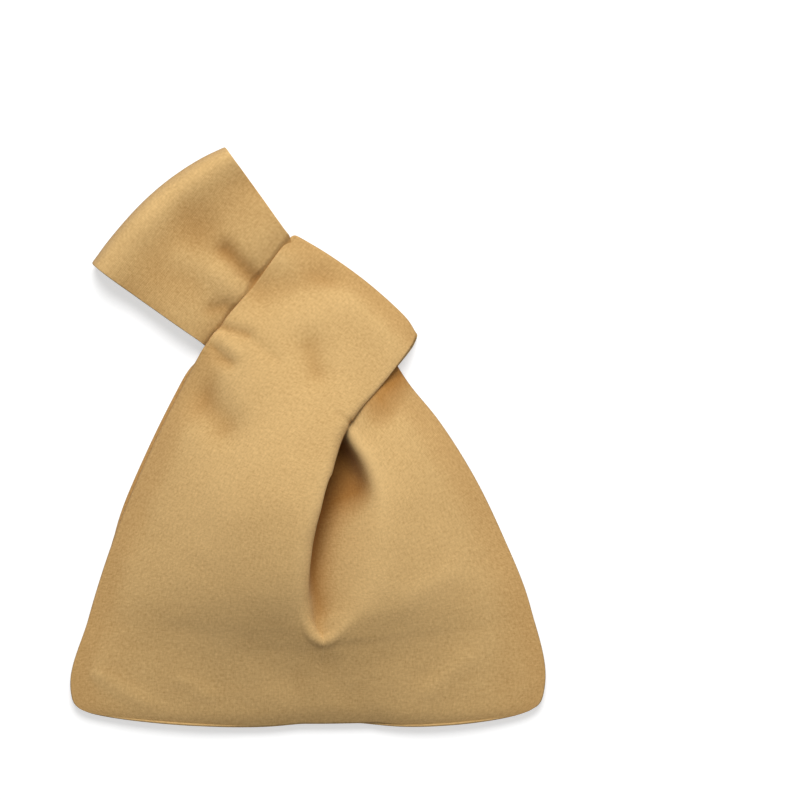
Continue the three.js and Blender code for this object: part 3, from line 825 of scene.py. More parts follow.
# The rolled left edge: distances of its first columns inwards from the seam, and their heights
ROLLED_STEPS = (0.8, -3.2, 3, 11)
ROLLED_HEIGHTS = (2.9, 1.9, 1.0, CANVAS)
ROLL_STARTS = (0.3, 0.6)  # rows over which the edge starts to roll over
ROLL_ENDS = (0.92, 1)  # and over which it lies flat again


def curl(distance):
    """Rise of the back at a distance from a seam."""
    return (SEAM_HEIGHT - CANVAS) * max(0, 1 - distance / CURL) ** 2


def low_curl(row, distance):
    return curl(distance) if row < LOW_ROW else 0


def rolled_over(row):
    """Share by which the back's left edge rolls over in this row."""
    return ease(row, *ROLL_STARTS) * (1 - ease(row, *ROLL_ENDS))


def back_side(row, edge, end, free, rolled, lift):
    """Columns from a seam inwards to an end.

    free and rolled say by what share the edge lies flat or rolls over, and lift raises all of them.
    """
    reach = math.dist(edge, end[:2])
    side = []
    for k, step in enumerate((*EDGE_STEPS, *(share * reach for share in BACK_SHARES))):
        height = curl(step) * (1 - free)
        if k < len(EDGE_STEPS):
            step = mix(step, ROLLED_STEPS[k], rolled)
            height = mix(height, ROLLED_HEIGHTS[k] - CANVAS, rolled)
        place = along(edge, end[:2], step / reach) + (0, low_bow(row, max(0, step / reach)))
        low = low_curl(row, place[1] - mix(bottom, bottom - BOTTOM_BOW, step / reach))
        side.append((*place, CANVAS + max(height, low) + lift))
    return side


print("half way up, the left edge rolls over by", round(float(rolled_over(0.5)), 2))

# %% Net of the back
BACK_LIFT_ROW = 0.75  # from this row the right edge rises to the strap
BACK_CLOSES = (0.8, 1)  # rows of the loop over which its back comes up to the top seam
BACK_LEFT = len(EDGE_STEPS) + len(BACK_SHARES) + 3  # columns of the left half and its turned edge
BACK_RIGHT = len(EDGE_STEPS) + len(BACK_SHARES) + PLEAT_TURN  # first column of the right half


def back_row(row):
    """One row of the back, from the left seam to the right seam."""
    x, y = lip(row)
    steps = pleat_columns(row)
    middle = [(x + side, y, height) for side, height in steps]
    if row > MOUTH_ROW:
        middle[PLEAT_TURN:] = crossed(row, steps)
    lift = (STRAP_BACK - CANVAS) * ease(row, BACK_LIFT_ROW, SETTLED_ROW)
    left = back_side(row, left_edge(row), middle[0], ease(row, *LOOP_MEETS), rolled_over(row), 0)
    right = back_side(row, right_edge(row), middle[-1], ease(row, *STRAP_MEETS), 0, lift)
    low = low_curl(row, y - (bottom - BOTTOM_BOW))
    middle = [(px, py, height + low) for px, py, height in middle]
    return np.array([*left, *middle, *right[::-1]])


back_body = np.array([back_row(row) for row in BODY_ROWS])
BACK_COLUMNS = back_body.shape[1]
back_points = np.full((len(BODY_ROWS) + len(LOOP_ROWS), BACK_COLUMNS, 3), np.nan)
back_points[: len(BODY_ROWS)] = back_body
for r, row in enumerate(LOOP_ROWS, len(BODY_ROWS)):
    lift = (SEAM_HEIGHT - CANVAS) * ease(row, *BACK_CLOSES) ** 2
    for c in range(BACK_LEFT):
        share = math.dist(back_body[-1, c, :2], loop_foot) / math.dist(lap_end, loop_foot)
        back_points[r, c] = (*loop_plan(share, row), back_body[-1, c, 2] + lift)
print("back net", back_points.shape)

# %% Back sheet
ROLLED_SHADE = (1, 0.3)  # painted shade of the first columns on the rolled edge, a dark line beside the front
back_painted_shade = np.zeros(back_points.shape[:2])
for r, row in enumerate(BODY_ROWS):
    back_painted_shade[r, : len(ROLLED_SHADE)] = np.multiply(ROLLED_SHADE, rolled_over(row))


def back_cell(row, column):
    """Whether the cloth covers the cell above this row and right of this column."""
    if row >= KNOT_AT:
        return column < BACK_LEFT - 1
    return row < MOUTH_AT or column < BACK_LEFT - 1 or column >= BACK_RIGHT


back_up = np.nanmean(lengths(back_points, 0), axis=1)[:, None] * np.ones(BACK_COLUMNS)
back_cut = np.stack([lengths(back_points, 1), back_up], axis=2)
back_marks = {"seam_gap": seam_gap(back_points), "painted_shade": back_painted_shade}
back_sheet = sheet_from_net("back_sheet", back_points, back_cell, back_cut, back_marks, -1)
back_widths = lengths(back_points, 1)[: KNOT_AT + 1, -1]
print("the back's rows measure", back_widths.min().round(), "to", back_widths.max().round(), "mm")

# %% [markdown]
# The long strap lies flat inside the knot and stands out of it as the wrist loop: a front and a back
# strap, joined only at their end seam. Each could be one sheet. But one sheet can bend over one joint
# only, so each is cut in two where the knot hides it, into an inner piece and an outer piece.

# %% Plan of the strap and the wrist loop
TAIL_LENGTH = 56  # wrist loop, along its middle
TAIL_BASE = 67  # its width at the knot
TAIL_WIDTH = 84  # its width at the end
TAIL_SKEW = 16  # its end runs at a slant
TAIL_SHIFT = 5.5  # its end lies this much further along v
TAIL_BOW = 5.6  # its end swells outwards
TAIL_LEAN = 1.15  # power that leans the swell to the upper side
TAIL_CORNER = 0.8  # its end corners are rounded by this much
TAIL_CORNER_FROM = (0.7, 0.8)  # from these shares of its half width and its length
STRAP_WIDENS = (-8, BEND_OUT)  # u over which the gathered strap spreads to the wrist loop's width


def strap_plan(across, u):
    """Plan point inside the knot."""
    wide = ease(u, *STRAP_WIDENS)
    low = mix(STRAP_LOW, -TAIL_BASE / 2, wide)
    high = mix(STRAP_LOW + STRAP_WIDTH, TAIL_BASE / 2, wide)
    return knot(u, mix(low, high, across))


def tail_plan(across, share):
    """Plan point on the wrist loop, at shares of its width and its length."""
    swell = TAIL_BOW * math.sin(math.pi * across**TAIL_LEAN)
    near_side, near_end = TAIL_CORNER_FROM
    corner = TAIL_CORNER * ease(abs(2 * across - 1), near_side, 1) * ease(share, near_end, 1)
    end = (
        BEND_OUT + TAIL_LENGTH + TAIL_SKEW * (0.5 - across) + swell - corner,
        (across - 0.5) * (TAIL_WIDTH - corner) + TAIL_SHIFT,
    )
    return knot(*along((BEND_OUT, (across - 0.5) * TAIL_BASE), end, share))


print("the wrist loop's end runs from", tail_plan(0, 1).round(1), "to", tail_plan(1, 1).round(1))

# %% Heights of the strap and the wrist loop
TAIL_PUFF = 10.5  # the front strap stands this far off the back strap
tail_rise = through(
    # share of the length, rise on the lower side, rise on the upper side
    (0, 0.36, 0.3),
    (0.06, 0.54, 0.42),
    (0.15, 0.66, 0.5),
    (0.3, 0.69, 0.52),
    (0.5, 0.66, 0.53),
    (0.65, 0.69, 0.66),
    (0.76, 0.81, 0.86),
    (0.85, 0.9, 1),
    (0.92, 0.84, 0.92),
    (0.97, 0.57, 0.6),
    (1, 0, 0),
)
TAIL_SIDES = (0.12, 0.45)  # shares of the width over which the lower side's rise becomes the upper's
TAIL_DROOP = 1.6  # its free edges hang down by this much
TAIL_CLOSES = (0.8, 1)  # shares of the length over which the front comes down to the end seam
TAIL_SETTLES = (0, 0.25)  # over which the back comes down to the table
TAIL_RISES = (0.86, 1)  # and over which it comes up to the end seam
PUFF_STARTS = (-0.4, 2.6)  # u over which the front swells out of the knot


def tail_front_height(across, share):
    puff = TAIL_PUFF * mix(*tail_rise(share), ease(across, *TAIL_SIDES))
    droop = TAIL_DROOP * abs(2 * across - 1) ** 5 * math.sin(math.pi * share)
    return STRAP_FRONT + puff - droop - (STRAP_FRONT - SEAM_HEIGHT) * ease(share, *TAIL_CLOSES)


def tail_back_height(across, share):
    down = mix(STRAP_BACK, CANVAS, ease(share, *TAIL_SETTLES))
    return down + (SEAM_HEIGHT - CANVAS) * ease(share, *TAIL_RISES) ** 2


def strap_front_height(u):
    return STRAP_FRONT + TAIL_PUFF * tail_rise(0)[1] * ease(u, *PUFF_STARTS)


def strap_back_height(u):
    return STRAP_BACK


print("the wrist loop stands", round(tail_front_height(0.5, 0.85), 1), "mm up near its end")

# %% Sheets of the strap and the wrist loop
STRAP_SPLIT = -20  # u, hidden in the knot, where the strap's two pieces meet
ROOT_STOPS = np.linspace(STRAP_ROOT, STRAP_SPLIT, 7)  # u of the inner piece's rows
STRAP_STOPS = (STRAP_SPLIT, -15, -10, -5, -1.5, 0.5, 2)  # u of the outer piece's first rows
TAIL_STOPS = (0, 0.05, 0.11, 0.18, 0.26, 0.35, 0.45, 0.55, 0.65, 0.75, 0.84, 0.91, 0.96, 1)
TAIL_COLUMNS = (0, 0.03, 0.08, 0.16, 0.27, 0.38, 0.5, 0.62, 0.73, 0.84, 0.92, 0.97, 1)
KNOT_SHADE = 0.3  # painted shade where the knot shades the strap
KNOT_FADE = (19, 27)  # distances along the outer piece over which it fades


def strap_net(stops, strap_height, tail_height, tail_stops=()):
    rows = [[(*strap_plan(a, u), strap_height(u)) for a in TAIL_COLUMNS] for u in stops]
    rows += [[(*tail_plan(a, s), tail_height(a, s)) for a in TAIL_COLUMNS] for s in tail_stops]
    return np.array(rows)


def every_cell(row, column):
    return True


def strap_sheet(name, points, facing, sewn):
    """A sheet of the strap. A sewn one ends in the end seam."""
    cut = np.stack([lengths(points, 1), lengths(points, 0)], axis=2)
    from_end = lengths(points[::-1], 0)[::-1] if sewn else np.full(points.shape[:2], FAR)
    painted_shade = KNOT_SHADE * (1 - ease(lengths(points, 0), *KNOT_FADE))
    return sheet_from_net(name, points, every_cell, cut, {"seam_gap": from_end, "painted_shade": painted_shade}, facing)


STRAP_NETS = {
    # net, facing, sewn at its end
    "strap_front": (strap_net(ROOT_STOPS, strap_front_height, None), 1, False),
    "strap_back": (strap_net(ROOT_STOPS, strap_back_height, None), -1, False),
    "tail_front": (strap_net(STRAP_STOPS, strap_front_height, tail_front_height, TAIL_STOPS), 1, True),
    "tail_back": (strap_net(STRAP_STOPS, strap_back_height, tail_back_height, TAIL_STOPS), -1, True),
}
strap_sheets = {name: strap_sheet(name, *made) for name, made in STRAP_NETS.items()}
print("strap sheets", sorted(strap_sheets))

# %% [markdown]
# Cotton canvas keeps soft dents where it was bent. They could be painted with a sculpting brush, or faked
# in the material. But dents that catch the light need real shape, and a script can't hold a brush. So each
# dent or crease is a line on the table, with a width and a depth, and the cloth above it moves along its
# own normal. A little noise breaks up the smoothness everywhere.

# %% Dents and creases
# Each is a start, an end, a width and a depth. A positive depth is a dent, a negative one a raised crease
FRONT_CREASES = (
    # drawn in the short loop by the wrist loop's pull
    ((-43, 51), (-29, 47.5), 3, 1.4),
    ((-42, 46), (-33, 39), 3, -0.9),
    ((-44, 38), (-36, 33), 3.4, 1.3),
    ((-27, 46), (-14, 35), 3, 0.7),
    # wide hollows in the loop's middle, along its top and below its foot
    ((1, 41), (5, 30), 8, 2.2),
    ((-21, 68.5), (8, 75.5), 11, 3.4),
    ((-51, 18), (-39, 5), 10, 3.4),
    # a small tuck beside the loop's inner edge
    ((15, 9.5), (21, 5), 1.6, 0.7),
    # faint raised creases low on the body
    ((-100, -115), (-76, -130), 3.5, -0.6),
    ((-59, -118), (-47, -125), 3.5, -0.5),
    ((76, -108), (59, -123), 4, -0.6),
    ((49, -77), (69, -65), 6, -0.5),
)
TAIL_CREASES = (
    # dents towards the end of the wrist loop and where it leaves the knot
    ((-58, 104), (-48, 97), 10, 1.0),
    ((-39, 87), (-27, 75), 5, 2.6),
    ((-45, 60), (-39, 61), 4, 1.4),
    # swells between them
    ((-60, 84), (-46, 78), 8, -1.2),
    ((-42, 74), (-37, 69), 6, -1.0),
)


def crease_height(place, start, end, width, depth):
    """Height of one crease at plan places. It fades with the distance from the crease's line."""
    start, end = np.array(start, float), np.array(end, float)
    way = end - start
    share = np.clip(((place - start) @ way) / (way @ way), 0, 1)
    away = np.linalg.norm(place - start - share[:, None] * way, axis=1)
    return -depth * np.exp(-((away / width) ** 2))


print("creases", len(FRONT_CREASES) + len(TAIL_CREASES))

# %% [markdown]
# At the lower end of the fold the cloth turns round from the lip to the hollow, like the rim of a scoop.
# More rows in the net could give that thin rim. But they would have to run round the bend, across the
# rows, so the rim is raised along a line of its own, as a crease is.

# %% Rim round the end of the fold
SCOOP_RIM = through(
    (0, -1.6, -82),
    (0.2, -0.6, -88.4),
    (0.34, 1.2, -93.2),
    (0.44, 3.8, -96.6),
    (0.52, 7.4, -98.5),
    (0.6, 11, -97.6),
    (0.7, 15, -94.6),
    (0.84, 19, -90.6),
    (1, 23, -86.4),
)
RIM_STEPS = 61  # points along the line
RIM_WIDTH = 2.2
RIM_HEIGHT = 0.9


def rim_height(place):
    """Height of the rim at plan places. It fades towards both of its ends."""
    shares = np.linspace(0, 1, RIM_STEPS)
    line = np.array([SCOOP_RIM(share) for share in shares])
    away = np.linalg.norm(place[:, None] - line[None], axis=2)
    nearest = away.argmin(axis=1)
    return RIM_HEIGHT * np.exp(-((away.min(axis=1) / RIM_WIDTH) ** 2)) * np.sin(math.pi * shares[nearest])


print("the rim turns at", SCOOP_RIM(0.52).round(1))

# %% Pressing the dents in
NOISE_SIZE = 22
NOISE_HEIGHT = 0.35
NOISE_DETAIL = (1.0, 2.0, 3)  # roughness, step from one size to the next, number of sizes
SEWN_FLAT = (0, 12)  # distances from a sewn edge over which dents and noise come in


def read(items, name, width, kind=np.float32):
    """A mesh's values of one name, a row for each point or edge."""
    found = np.zeros(len(items) * width, kind)
    items.foreach_get(name, found)
    return found.reshape(-1, width)


def sculpt(sheet, creases, rim=None):
    """Moves a sheet's points along their normals by its creases, its rim and a little noise."""
    mesh = sheet.data
    points = read(mesh.vertices, "co", 3).astype(float)
    place = points[:, :2] / MM
    height = sum((crease_height(place, *crease) for crease in creases), np.zeros(len(points)))
    if rim:
        height += rim(place)
    grain = [noise.fractal(Vector(p / MM / NOISE_SIZE), *NOISE_DETAIL) for p in points]
    height += NOISE_HEIGHT * np.array(grain)
    height *= ease(read(mesh.attributes["seam_gap"].data, "value", 1)[:, 0], *SEWN_FLAT)
    points += read(mesh.vertices, "normal", 3) * height[:, None] * MM
    mesh.vertices.foreach_set("co", points.astype(np.float32).ravel())
    mesh.update()
    print(sheet.name, "moved from", height.min().round(1), "to", height.max().round(1), "mm")


sculpt(front_sheet, FRONT_CREASES, rim_height)
sculpt(strap_sheets["tail_front"], TAIL_CREASES)

# %% [markdown]
# Raised folds are painted paler, as painted highlight, and hollows deeper, as painted shade. A material
# can feel sharp edges by itself, with Pointiness, but not wide folds like these. So they are measured on
# the mesh: the sheet is evened out many times, and a point that lies above the evened sheet is on a fold's
# back. The value goes with the mesh into the finish.

# %% Painted light and shade on folds
EVEN_TURNS = 90  # rounds of evening out, which set how wide a fold is felt
EVEN_PULL = 0.5  # share of the way to its neighbours that a point moves in a round
FOLD_LIGHT_DEPTH = 3.5  # a fold this deep, or a fold's back this high, counts fully
FOLD_LIGHT_FADE = (2, 14)  # distances from a sewn edge over which the painted fold light and shade comes in
STRAP_SHADE = -0.15  # the strap is a little deeper in colour all over


def painted_fold_light(sheet, shift=0):
    """Stores 1 on raised folds, painted paler as highlight, and -1 in hollows, painted deeper as shade."""
    mesh = sheet.data
    points = read(mesh.vertices, "co", 3).astype(float)
    a, b = read(mesh.edges, "vertices", 2, np.int32).T
    near = np.bincount(np.concatenate([a, b]), minlength=len(points))[:, None]
    even = points.copy()
    for turn in range(EVEN_TURNS):
        total = np.zeros_like(even)
        np.add.at(total, a, even[b])
        np.add.at(total, b, even[a])
        even += EVEN_PULL * (total / near - even)
    raised = ((points - even) * read(mesh.vertices, "normal", 3)).sum(axis=1) / MM / FOLD_LIGHT_DEPTH
    held = read(mesh.attributes["seam_gap"].data, "value", 1)[:, 0]
    raised = np.clip(raised, -1, 1) * ease(held, *FOLD_LIGHT_FADE) + shift
    mesh.attributes.new("painted_fold_light", "FLOAT", "POINT").data.foreach_set("value", raised.astype(np.float32))
    print(sheet.name, "rubbed from", raised.min().round(2), "to", raised.max().round(2))


painted_fold_light(front_sheet)
painted_fold_light(back_sheet)
for sheet in strap_sheets.values():
    painted_fold_light(sheet, STRAP_SHADE)

# %% [markdown]
# The bag has two layers of cloth everywhere: canvas outside and a lining inside, which stops short of the
# sewn seams. They could be modelled one by one, but then they would never quite touch. Both grow from the
# same sheet with the Solidify modifier, the canvas outwards and the lining inwards, so they lie on each
# other as sewn cloth does.

# %% Canvas and lining from each sheet
LINING = 0.5  # thickness of the inner cloth
LINING_STOP = 9  # the lining ends this far inside a seam


def thicken(sheet, name, thickness, outwards, seam_stop=0):
    """A piece of cloth grown from one side of a sheet, without its faces nearer to a seam than seam_stop."""
    made = new_object(name, sheet.data.copy())
    if seam_stop:
        held = made.data.attributes["seam_gap"].data
        trim = bmesh.new()
        trim.from_mesh(made.data)
        near = [f for f in trim.faces if sum(held[v.index].value for v in f.verts) < seam_stop * len(f.verts)]
        bmesh.ops.delete(trim, geom=near, context="FACES")
        trim.to_mesh(made.data)
        trim.free()
    wall = made.modifiers.new("wall", "SOLIDIFY")
    wall.thickness = thickness * MM
    wall.offset = 1 if outwards else -1
    bake(made)
    return made


pieces = {}
for name, sheet in {"front": front_sheet, "back": back_sheet, **strap_sheets}.items():
    pieces[name + "_canvas"] = thicken(sheet, name + "_canvas", CANVAS, True)
    pieces[name + "_lining"] = thicken(sheet, name + "_lining", LINING, False, LINING_STOP)
    bpy.data.objects.remove(sheet)
for name, piece in pieces.items():
    print(name, len(piece.data.polygons), "faces")

# %% [markdown]
# Finishes come next. A finish is a tree of nodes, and it could be joined up by hand in the Shader Editor.
# In a script, sums are easier to read as Python: a small class wraps a node's output, and each operator on
# it adds a Math node. One method makes every other node.

# %% Shader sums as Python
class Wire:
    """One output of a node. Sums on it add Math nodes."""

    def __init__(self, tree, socket):
        self.tree = tree
        self.socket = socket

    def output(self, name):
        """Any output of the same node."""
        return Wire(self.tree, self.socket.node.outputs[name])

    def math(self, operation, *values):
        return Nodes(self.tree).node("ShaderNodeMath", {"operation": operation}, dict(enumerate(values)))

    def __add__(self, other):
        return self.math("ADD", self, other)

    def __radd__(self, other):
        return self.math("ADD", other, self)

    def __sub__(self, other):
        return self.math("SUBTRACT", self, other)

    def __rsub__(self, other):
        return self.math("SUBTRACT", other, self)

    def __mul__(self, other):
        return self.math("MULTIPLY", self, other)

    def __rmul__(self, other):
        return self.math("MULTIPLY", other, self)

    def __truediv__(self, other):
        return self.math("DIVIDE", self, other)

    def __rtruediv__(self, other):
        return self.math("DIVIDE", other, self)


class Nodes:
    """Adds nodes to a tree, with their settings first and then the values or links of their sockets."""

    def __init__(self, tree):
        self.tree = tree

    def fill(self, made, inputs):
        for name, value in inputs.items():
            if isinstance(value, Wire):
                self.tree.links.new(value.socket, made.inputs[name])
            else:
                made.inputs[name].default_value = value

    def node(self, kind, settings=None, inputs=None, output=0):
        made = self.tree.nodes.new(kind)
        for name, value in (settings or {}).items():
            setattr(made, name, value)
        self.fill(made, inputs or {})
        return Wire(self.tree, made.outputs[output])


def new_material(name):
    """A new material, its nodes and its surface."""
    material = bpy.data.materials.new(name)
    material.use_nodes = True
    tree = material.node_tree
    print("finish", name)
    return material, Nodes(tree), tree.nodes["Principled BSDF"]


# %% [markdown]
# The canvas is a plain weave of thick and thin threads with a soft nap. A picture of cloth could be laid
# on it, but it would repeat. The weave is worked out from the flat cut instead: a sine for each direction
# of the threads, whose product says which of the two lies on top, and long noise for slubs. Raised folds
# get a paler colour, a painted highlight, and hollows, the fold, the seams and the places that the knot
# and the loop shade get a deeper one, a painted shade, with the weave still in it.

# %% Woven cotton
BUMP = 0.35  # strength of the threads' relief
NAP_ROUGH = 0.6  # spread of the nap's soft glow
NAP_TINT = (1, 0.95, 0.88, 1)
SHINE = 0.25  # bare gloss, which cotton has little of
ROUGHEST, POLISH = 0.93, 0.1  # roughness between the threads, and how much less it is on top of them
SLUB_LONG, SLUB_WIDE = 0.2, 0.9  # scale of the slubs along and across a thread, per pitch
GRAIN, CLOUD = 0.45, 0.02  # scales of fine grain and of wide clouds


def woven(name, light, dark, shade_colours, pitch, nap, depth):
    """Plain weave read from the flat cut. pitch and depth are the threads' spacing and relief."""
    material, nodes, surface = new_material(name)
    cut = nodes.node("ShaderNodeUVMap", {"uv_map": "cut"})
    place = nodes.node("ShaderNodeSeparateXYZ", inputs={0: cut})
    across, up = (place.output(axis) / (pitch * MM) for axis in ("X", "Y"))

    def drawn_out(x_scale, y_scale, detail):
        """Noise with a scale for each direction of the threads."""
        there = nodes.node("ShaderNodeCombineXYZ", inputs={0: across * x_scale, 1: up * y_scale})
        return nodes.node("ShaderNodeTexNoise", inputs={"Vector": there, "Scale": 1.0, "Detail": detail})

    def blend(share, low, high):
        """Two colours mixed. Sockets 6 and 7 of a Mix node are its colours, and output 2 the result."""
        share = nodes.node("ShaderNodeClamp", inputs={0: share})
        return nodes.node("ShaderNodeMix", {"data_type": "RGBA"}, {0: share, 6: low, 7: high}, output=2)

    warp, weft = across.math("SINE", across * math.pi), up.math("SINE", up * math.pi)
    over = warp.math("GREATER_THAN", warp * weft, 0.0)
    warp_round, weft_round = warp.math("ABSOLUTE", warp), weft.math("ABSOLUTE", weft)
    warp_top = warp_round * (0.5 + 0.5 * weft_round)
    weft_top = weft_round * (0.5 + 0.5 * warp_round)
    threads = over * warp_top + (1 - over) * weft_top
    slub = 0.5 * drawn_out(SLUB_WIDE, SLUB_LONG, 1.0) + 0.5 * drawn_out(SLUB_LONG, SLUB_WIDE, 1.0)
    grain = drawn_out(GRAIN, GRAIN, 3.0)
    cloudy = drawn_out(CLOUD, CLOUD, 3.0)
    fold_light = nodes.node("ShaderNodeAttribute", {"attribute_name": "painted_fold_light"}).output("Fac")
    painted_shade = nodes.node("ShaderNodeAttribute", {"attribute_name": "painted_shade"}).output("Fac")
    # The weights let slubs and grain show most, threads from near by and clouds from afar
    # painted highlight and shade: raised folds make the tone paler and hollows make it darker
    tone = 0.4 * threads + 0.9 * slub + 0.9 * grain + 0.3 * cloudy + 0.5 * fold_light - 0.75
    # painted shade: the colour turns to the deep colours where shade is painted and in hollows
    shaded_colour = blend(0.9 * painted_shade - 0.8 * fold_light, blend(tone, dark, light), blend(tone, *shade_colours))
    relief = {"Strength": BUMP, "Distance": depth * MM, "Height": threads + 1.2 * slub + 0.8 * grain}
    finish = {
        "Base Color": shaded_colour,
        "Roughness": ROUGHEST - POLISH * threads,
        "Normal": nodes.node("ShaderNodeBump", inputs=relief),
        "Sheen Weight": nap,
        "Sheen Roughness": NAP_ROUGH,
        "Sheen Tint": NAP_TINT,
        "Specular IOR Level": SHINE,
    }
    nodes.fill(surface, finish)
    return material


# %% Canvas, lining and thread
def colour(red, green, blue):
    """Linear colour from 0 to 255 screen values."""
    screen = np.array([red, green, blue]) / 255
    linear = np.where(screen <= 0.04045, screen / 12.92, ((screen + 0.055) / 1.055) ** 2.4)
    return (*linear, 1.0)


CANVAS_LIGHT = colour(220, 183, 124)
CANVAS_DARK = colour(174, 136, 80)
# the deep colours are painted shade, for the fold, the seams, hollows and places in the knot's and loop's
# shadow
CANVAS_PAINTED_SHADE = (colour(146, 98, 42), colour(186, 132, 64))
LINING_LIGHT, LINING_DARK = colour(214, 180, 124), colour(192, 155, 98)
THREAD_LIGHT, THREAD_DARK = colour(206, 166, 104), colour(176, 134, 76)
LINING_PAINTED_SHADE = (THREAD_DARK, LINING_DARK)
THREAD_PAINTED_SHADE = (THREAD_DARK, THREAD_DARK)
canvas = woven("ochre_canvas", CANVAS_LIGHT, CANVAS_DARK, CANVAS_PAINTED_SHADE, pitch=0.62, nap=0.06, depth=0.25)
lining = woven("pale_lining", LINING_LIGHT, LINING_DARK, LINING_PAINTED_SHADE, pitch=0.4, nap=0.08, depth=0.12)
thread = woven("sewing_thread", THREAD_LIGHT, THREAD_DARK, THREAD_PAINTED_SHADE, pitch=0.3, nap=0.1, depth=0.1)
for name, piece in pieces.items():
    piece.data.materials.clear()
    piece.data.materials.append(canvas if name.endswith("canvas") else lining)
print("pale canvas in linear colour", [round(float(part), 2) for part in CANVAS_LIGHT])

# %% [markdown]
# Inside each sewn edge the two canvas allowances lie pressed together. They could be left out, since they
# hardly show, but the mouth and the open ends let a look in. A flat strip along each seam is enough, and
# it is thickened as the cloth is.

# %% Lines of the seams
SEAM_STEPS = 40
SIDE_ROWS = (0.14, 0.9)  # rows between which the side seams have an allowance
RIGHT_SHORTER = 0.85  # the right one ends sooner, at the strap
END_SHARES = (0.06, 0.94)  # shares of the width that the loop's and the tail's seams cover
CORNER_COLUMNS = 4  # columns that the bottom seam leaves out at each end
UPWARDS = (0, 50)  # from the bottom seam into the bag


def seam_paths():
    """Each seam's line, as points on it and points further inside."""
    rows = np.linspace(*SIDE_ROWS, SEAM_STEPS)
    across = np.linspace(*END_SHARES, SEAM_STEPS)
    low = front_points[0, CORNER_COLUMNS : COLUMNS - CORNER_COLUMNS, :2]
    return {
        "left_seam": [(left_edge(r), lip(r)) for r in rows],
        "right_seam": [(right_edge(r), lip(r)) for r in rows * RIGHT_SHORTER],
        "bottom_seam": [(place, place + UPWARDS) for place in low],
        "loop_seam": [(loop_plan(s, 1), loop_plan(s, 0)) for s in across],
        "tail_seam": [(tail_plan(s, 1), tail_plan(s, 0)) for s in across],
    }


paths = seam_paths()
print("seams", sorted(paths))

# %% Seam allowances
ALLOWANCE_STEPS = (1.2, 4, 7)  # distances of its columns from the seam
ALLOWANCE_SLOPE = 0.04  # it rises by this share of the distance
ALLOWANCE_THICK = 1.5


def allowance(name, path):
    """A pressed strip along the inside of a seam."""
    net = []
    for edge, inside in path:
        way = (np.asarray(inside) - edge) / np.linalg.norm(np.asarray(inside) - edge)
        heights = [SEAM_HEIGHT + ALLOWANCE_SLOPE * step for step in ALLOWANCE_STEPS]
        net.append([(*(edge + way * step), height) for step, height in zip(ALLOWANCE_STEPS, heights)])
    net = np.array(net)
    cut = np.stack([lengths(net, 1), lengths(net, 0)], axis=2)
    inwards, onwards = net[0, 1] - net[0, 0], net[1, 0] - net[0, 0]
    facing = inwards[0] * onwards[1] - inwards[1] * onwards[0]
    strip = sheet_from_net(name + "_flat", net, every_cell, cut, {}, facing)
    made = thicken(strip, name, ALLOWANCE_THICK, False)
    bpy.data.objects.remove(strip)
    made.data.materials.clear()
    made.data.materials.append(canvas)
    return made


seams = {name: allowance(name, path) for name, path in paths.items()}
print("allowances", len(seams))

# %% [markdown]
# A row of lock stitches holds each seam. Each stitch is a short, thin bead of thread. An Array modifier
# could repeat it along a curve, but then every seam would need a curve and a bead of its own. A tree of
# Geometry Nodes does it for all of them: it walks along a line, sets a bead at every pitch and turns it
# along the line.

# %% Stitch tree
BEAD = {"Segments": 6, "Rings": 5, "Radius": 1.0}  # a stitch before it is drawn out


def stitch_tree():
    """Beads of thread along a line of edges."""
    tree = bpy.data.node_groups.new("stitch_row", "GeometryNodeTree")
    tree.interface.new_socket("Geometry", in_out="INPUT", socket_type="NodeSocketGeometry")
    for label in ("Pitch", "Stitch Length", "Thread Radius"):
        tree.interface.new_socket(label, in_out="INPUT", socket_type="NodeSocketFloat")
    tree.interface.new_socket("Thread", in_out="INPUT", socket_type="NodeSocketMaterial")
    tree.interface.new_socket("Geometry", in_out="OUTPUT", socket_type="NodeSocketGeometry")
    nodes = Nodes(tree)
    given = nodes.node("NodeGroupInput")
    line = nodes.node("GeometryNodeMeshToCurve", inputs={"Mesh": given.output("Geometry")})
    walk = {"Curve": line, "Length": given.output("Pitch")}
    steps = nodes.node("GeometryNodeCurveToPoints", {"mode": "LENGTH"}, walk)
    turn = {"Vector": steps.output("Tangent")}
    radius = given.output("Thread Radius")
    size = {"X": given.output("Stitch Length") * 0.5, "Y": radius, "Z": radius}
    beads = {
        "Points": steps.output("Points"),
        "Instance": nodes.node("GeometryNodeMeshUVSphere", inputs=BEAD),
        "Rotation": nodes.node("FunctionNodeAlignRotationToVector", {"axis": "X"}, turn),
        "Scale": nodes.node("ShaderNodeCombineXYZ", inputs=size),
    }
    placed = nodes.node("GeometryNodeInstanceOnPoints", inputs=beads)
    real = nodes.node("GeometryNodeRealizeInstances", inputs={"Geometry": placed})
    paint = {"Geometry": real, "Material": given.output("Thread")}
    painted = nodes.node("GeometryNodeSetMaterial", inputs=paint)
    nodes.fill(tree.nodes.new("NodeGroupOutput"), {"Geometry": painted})
    return tree


STITCHES = stitch_tree()
print("stitch tree of", len(STITCHES.nodes), "nodes")

# %% Stitches along the seams
STITCH_SIZES = {
    "Pitch": 2.6 * MM,
    "Stitch Length": 2.1 * MM,
    "Thread Radius": 0.22 * MM,
    "Thread": thread,
}


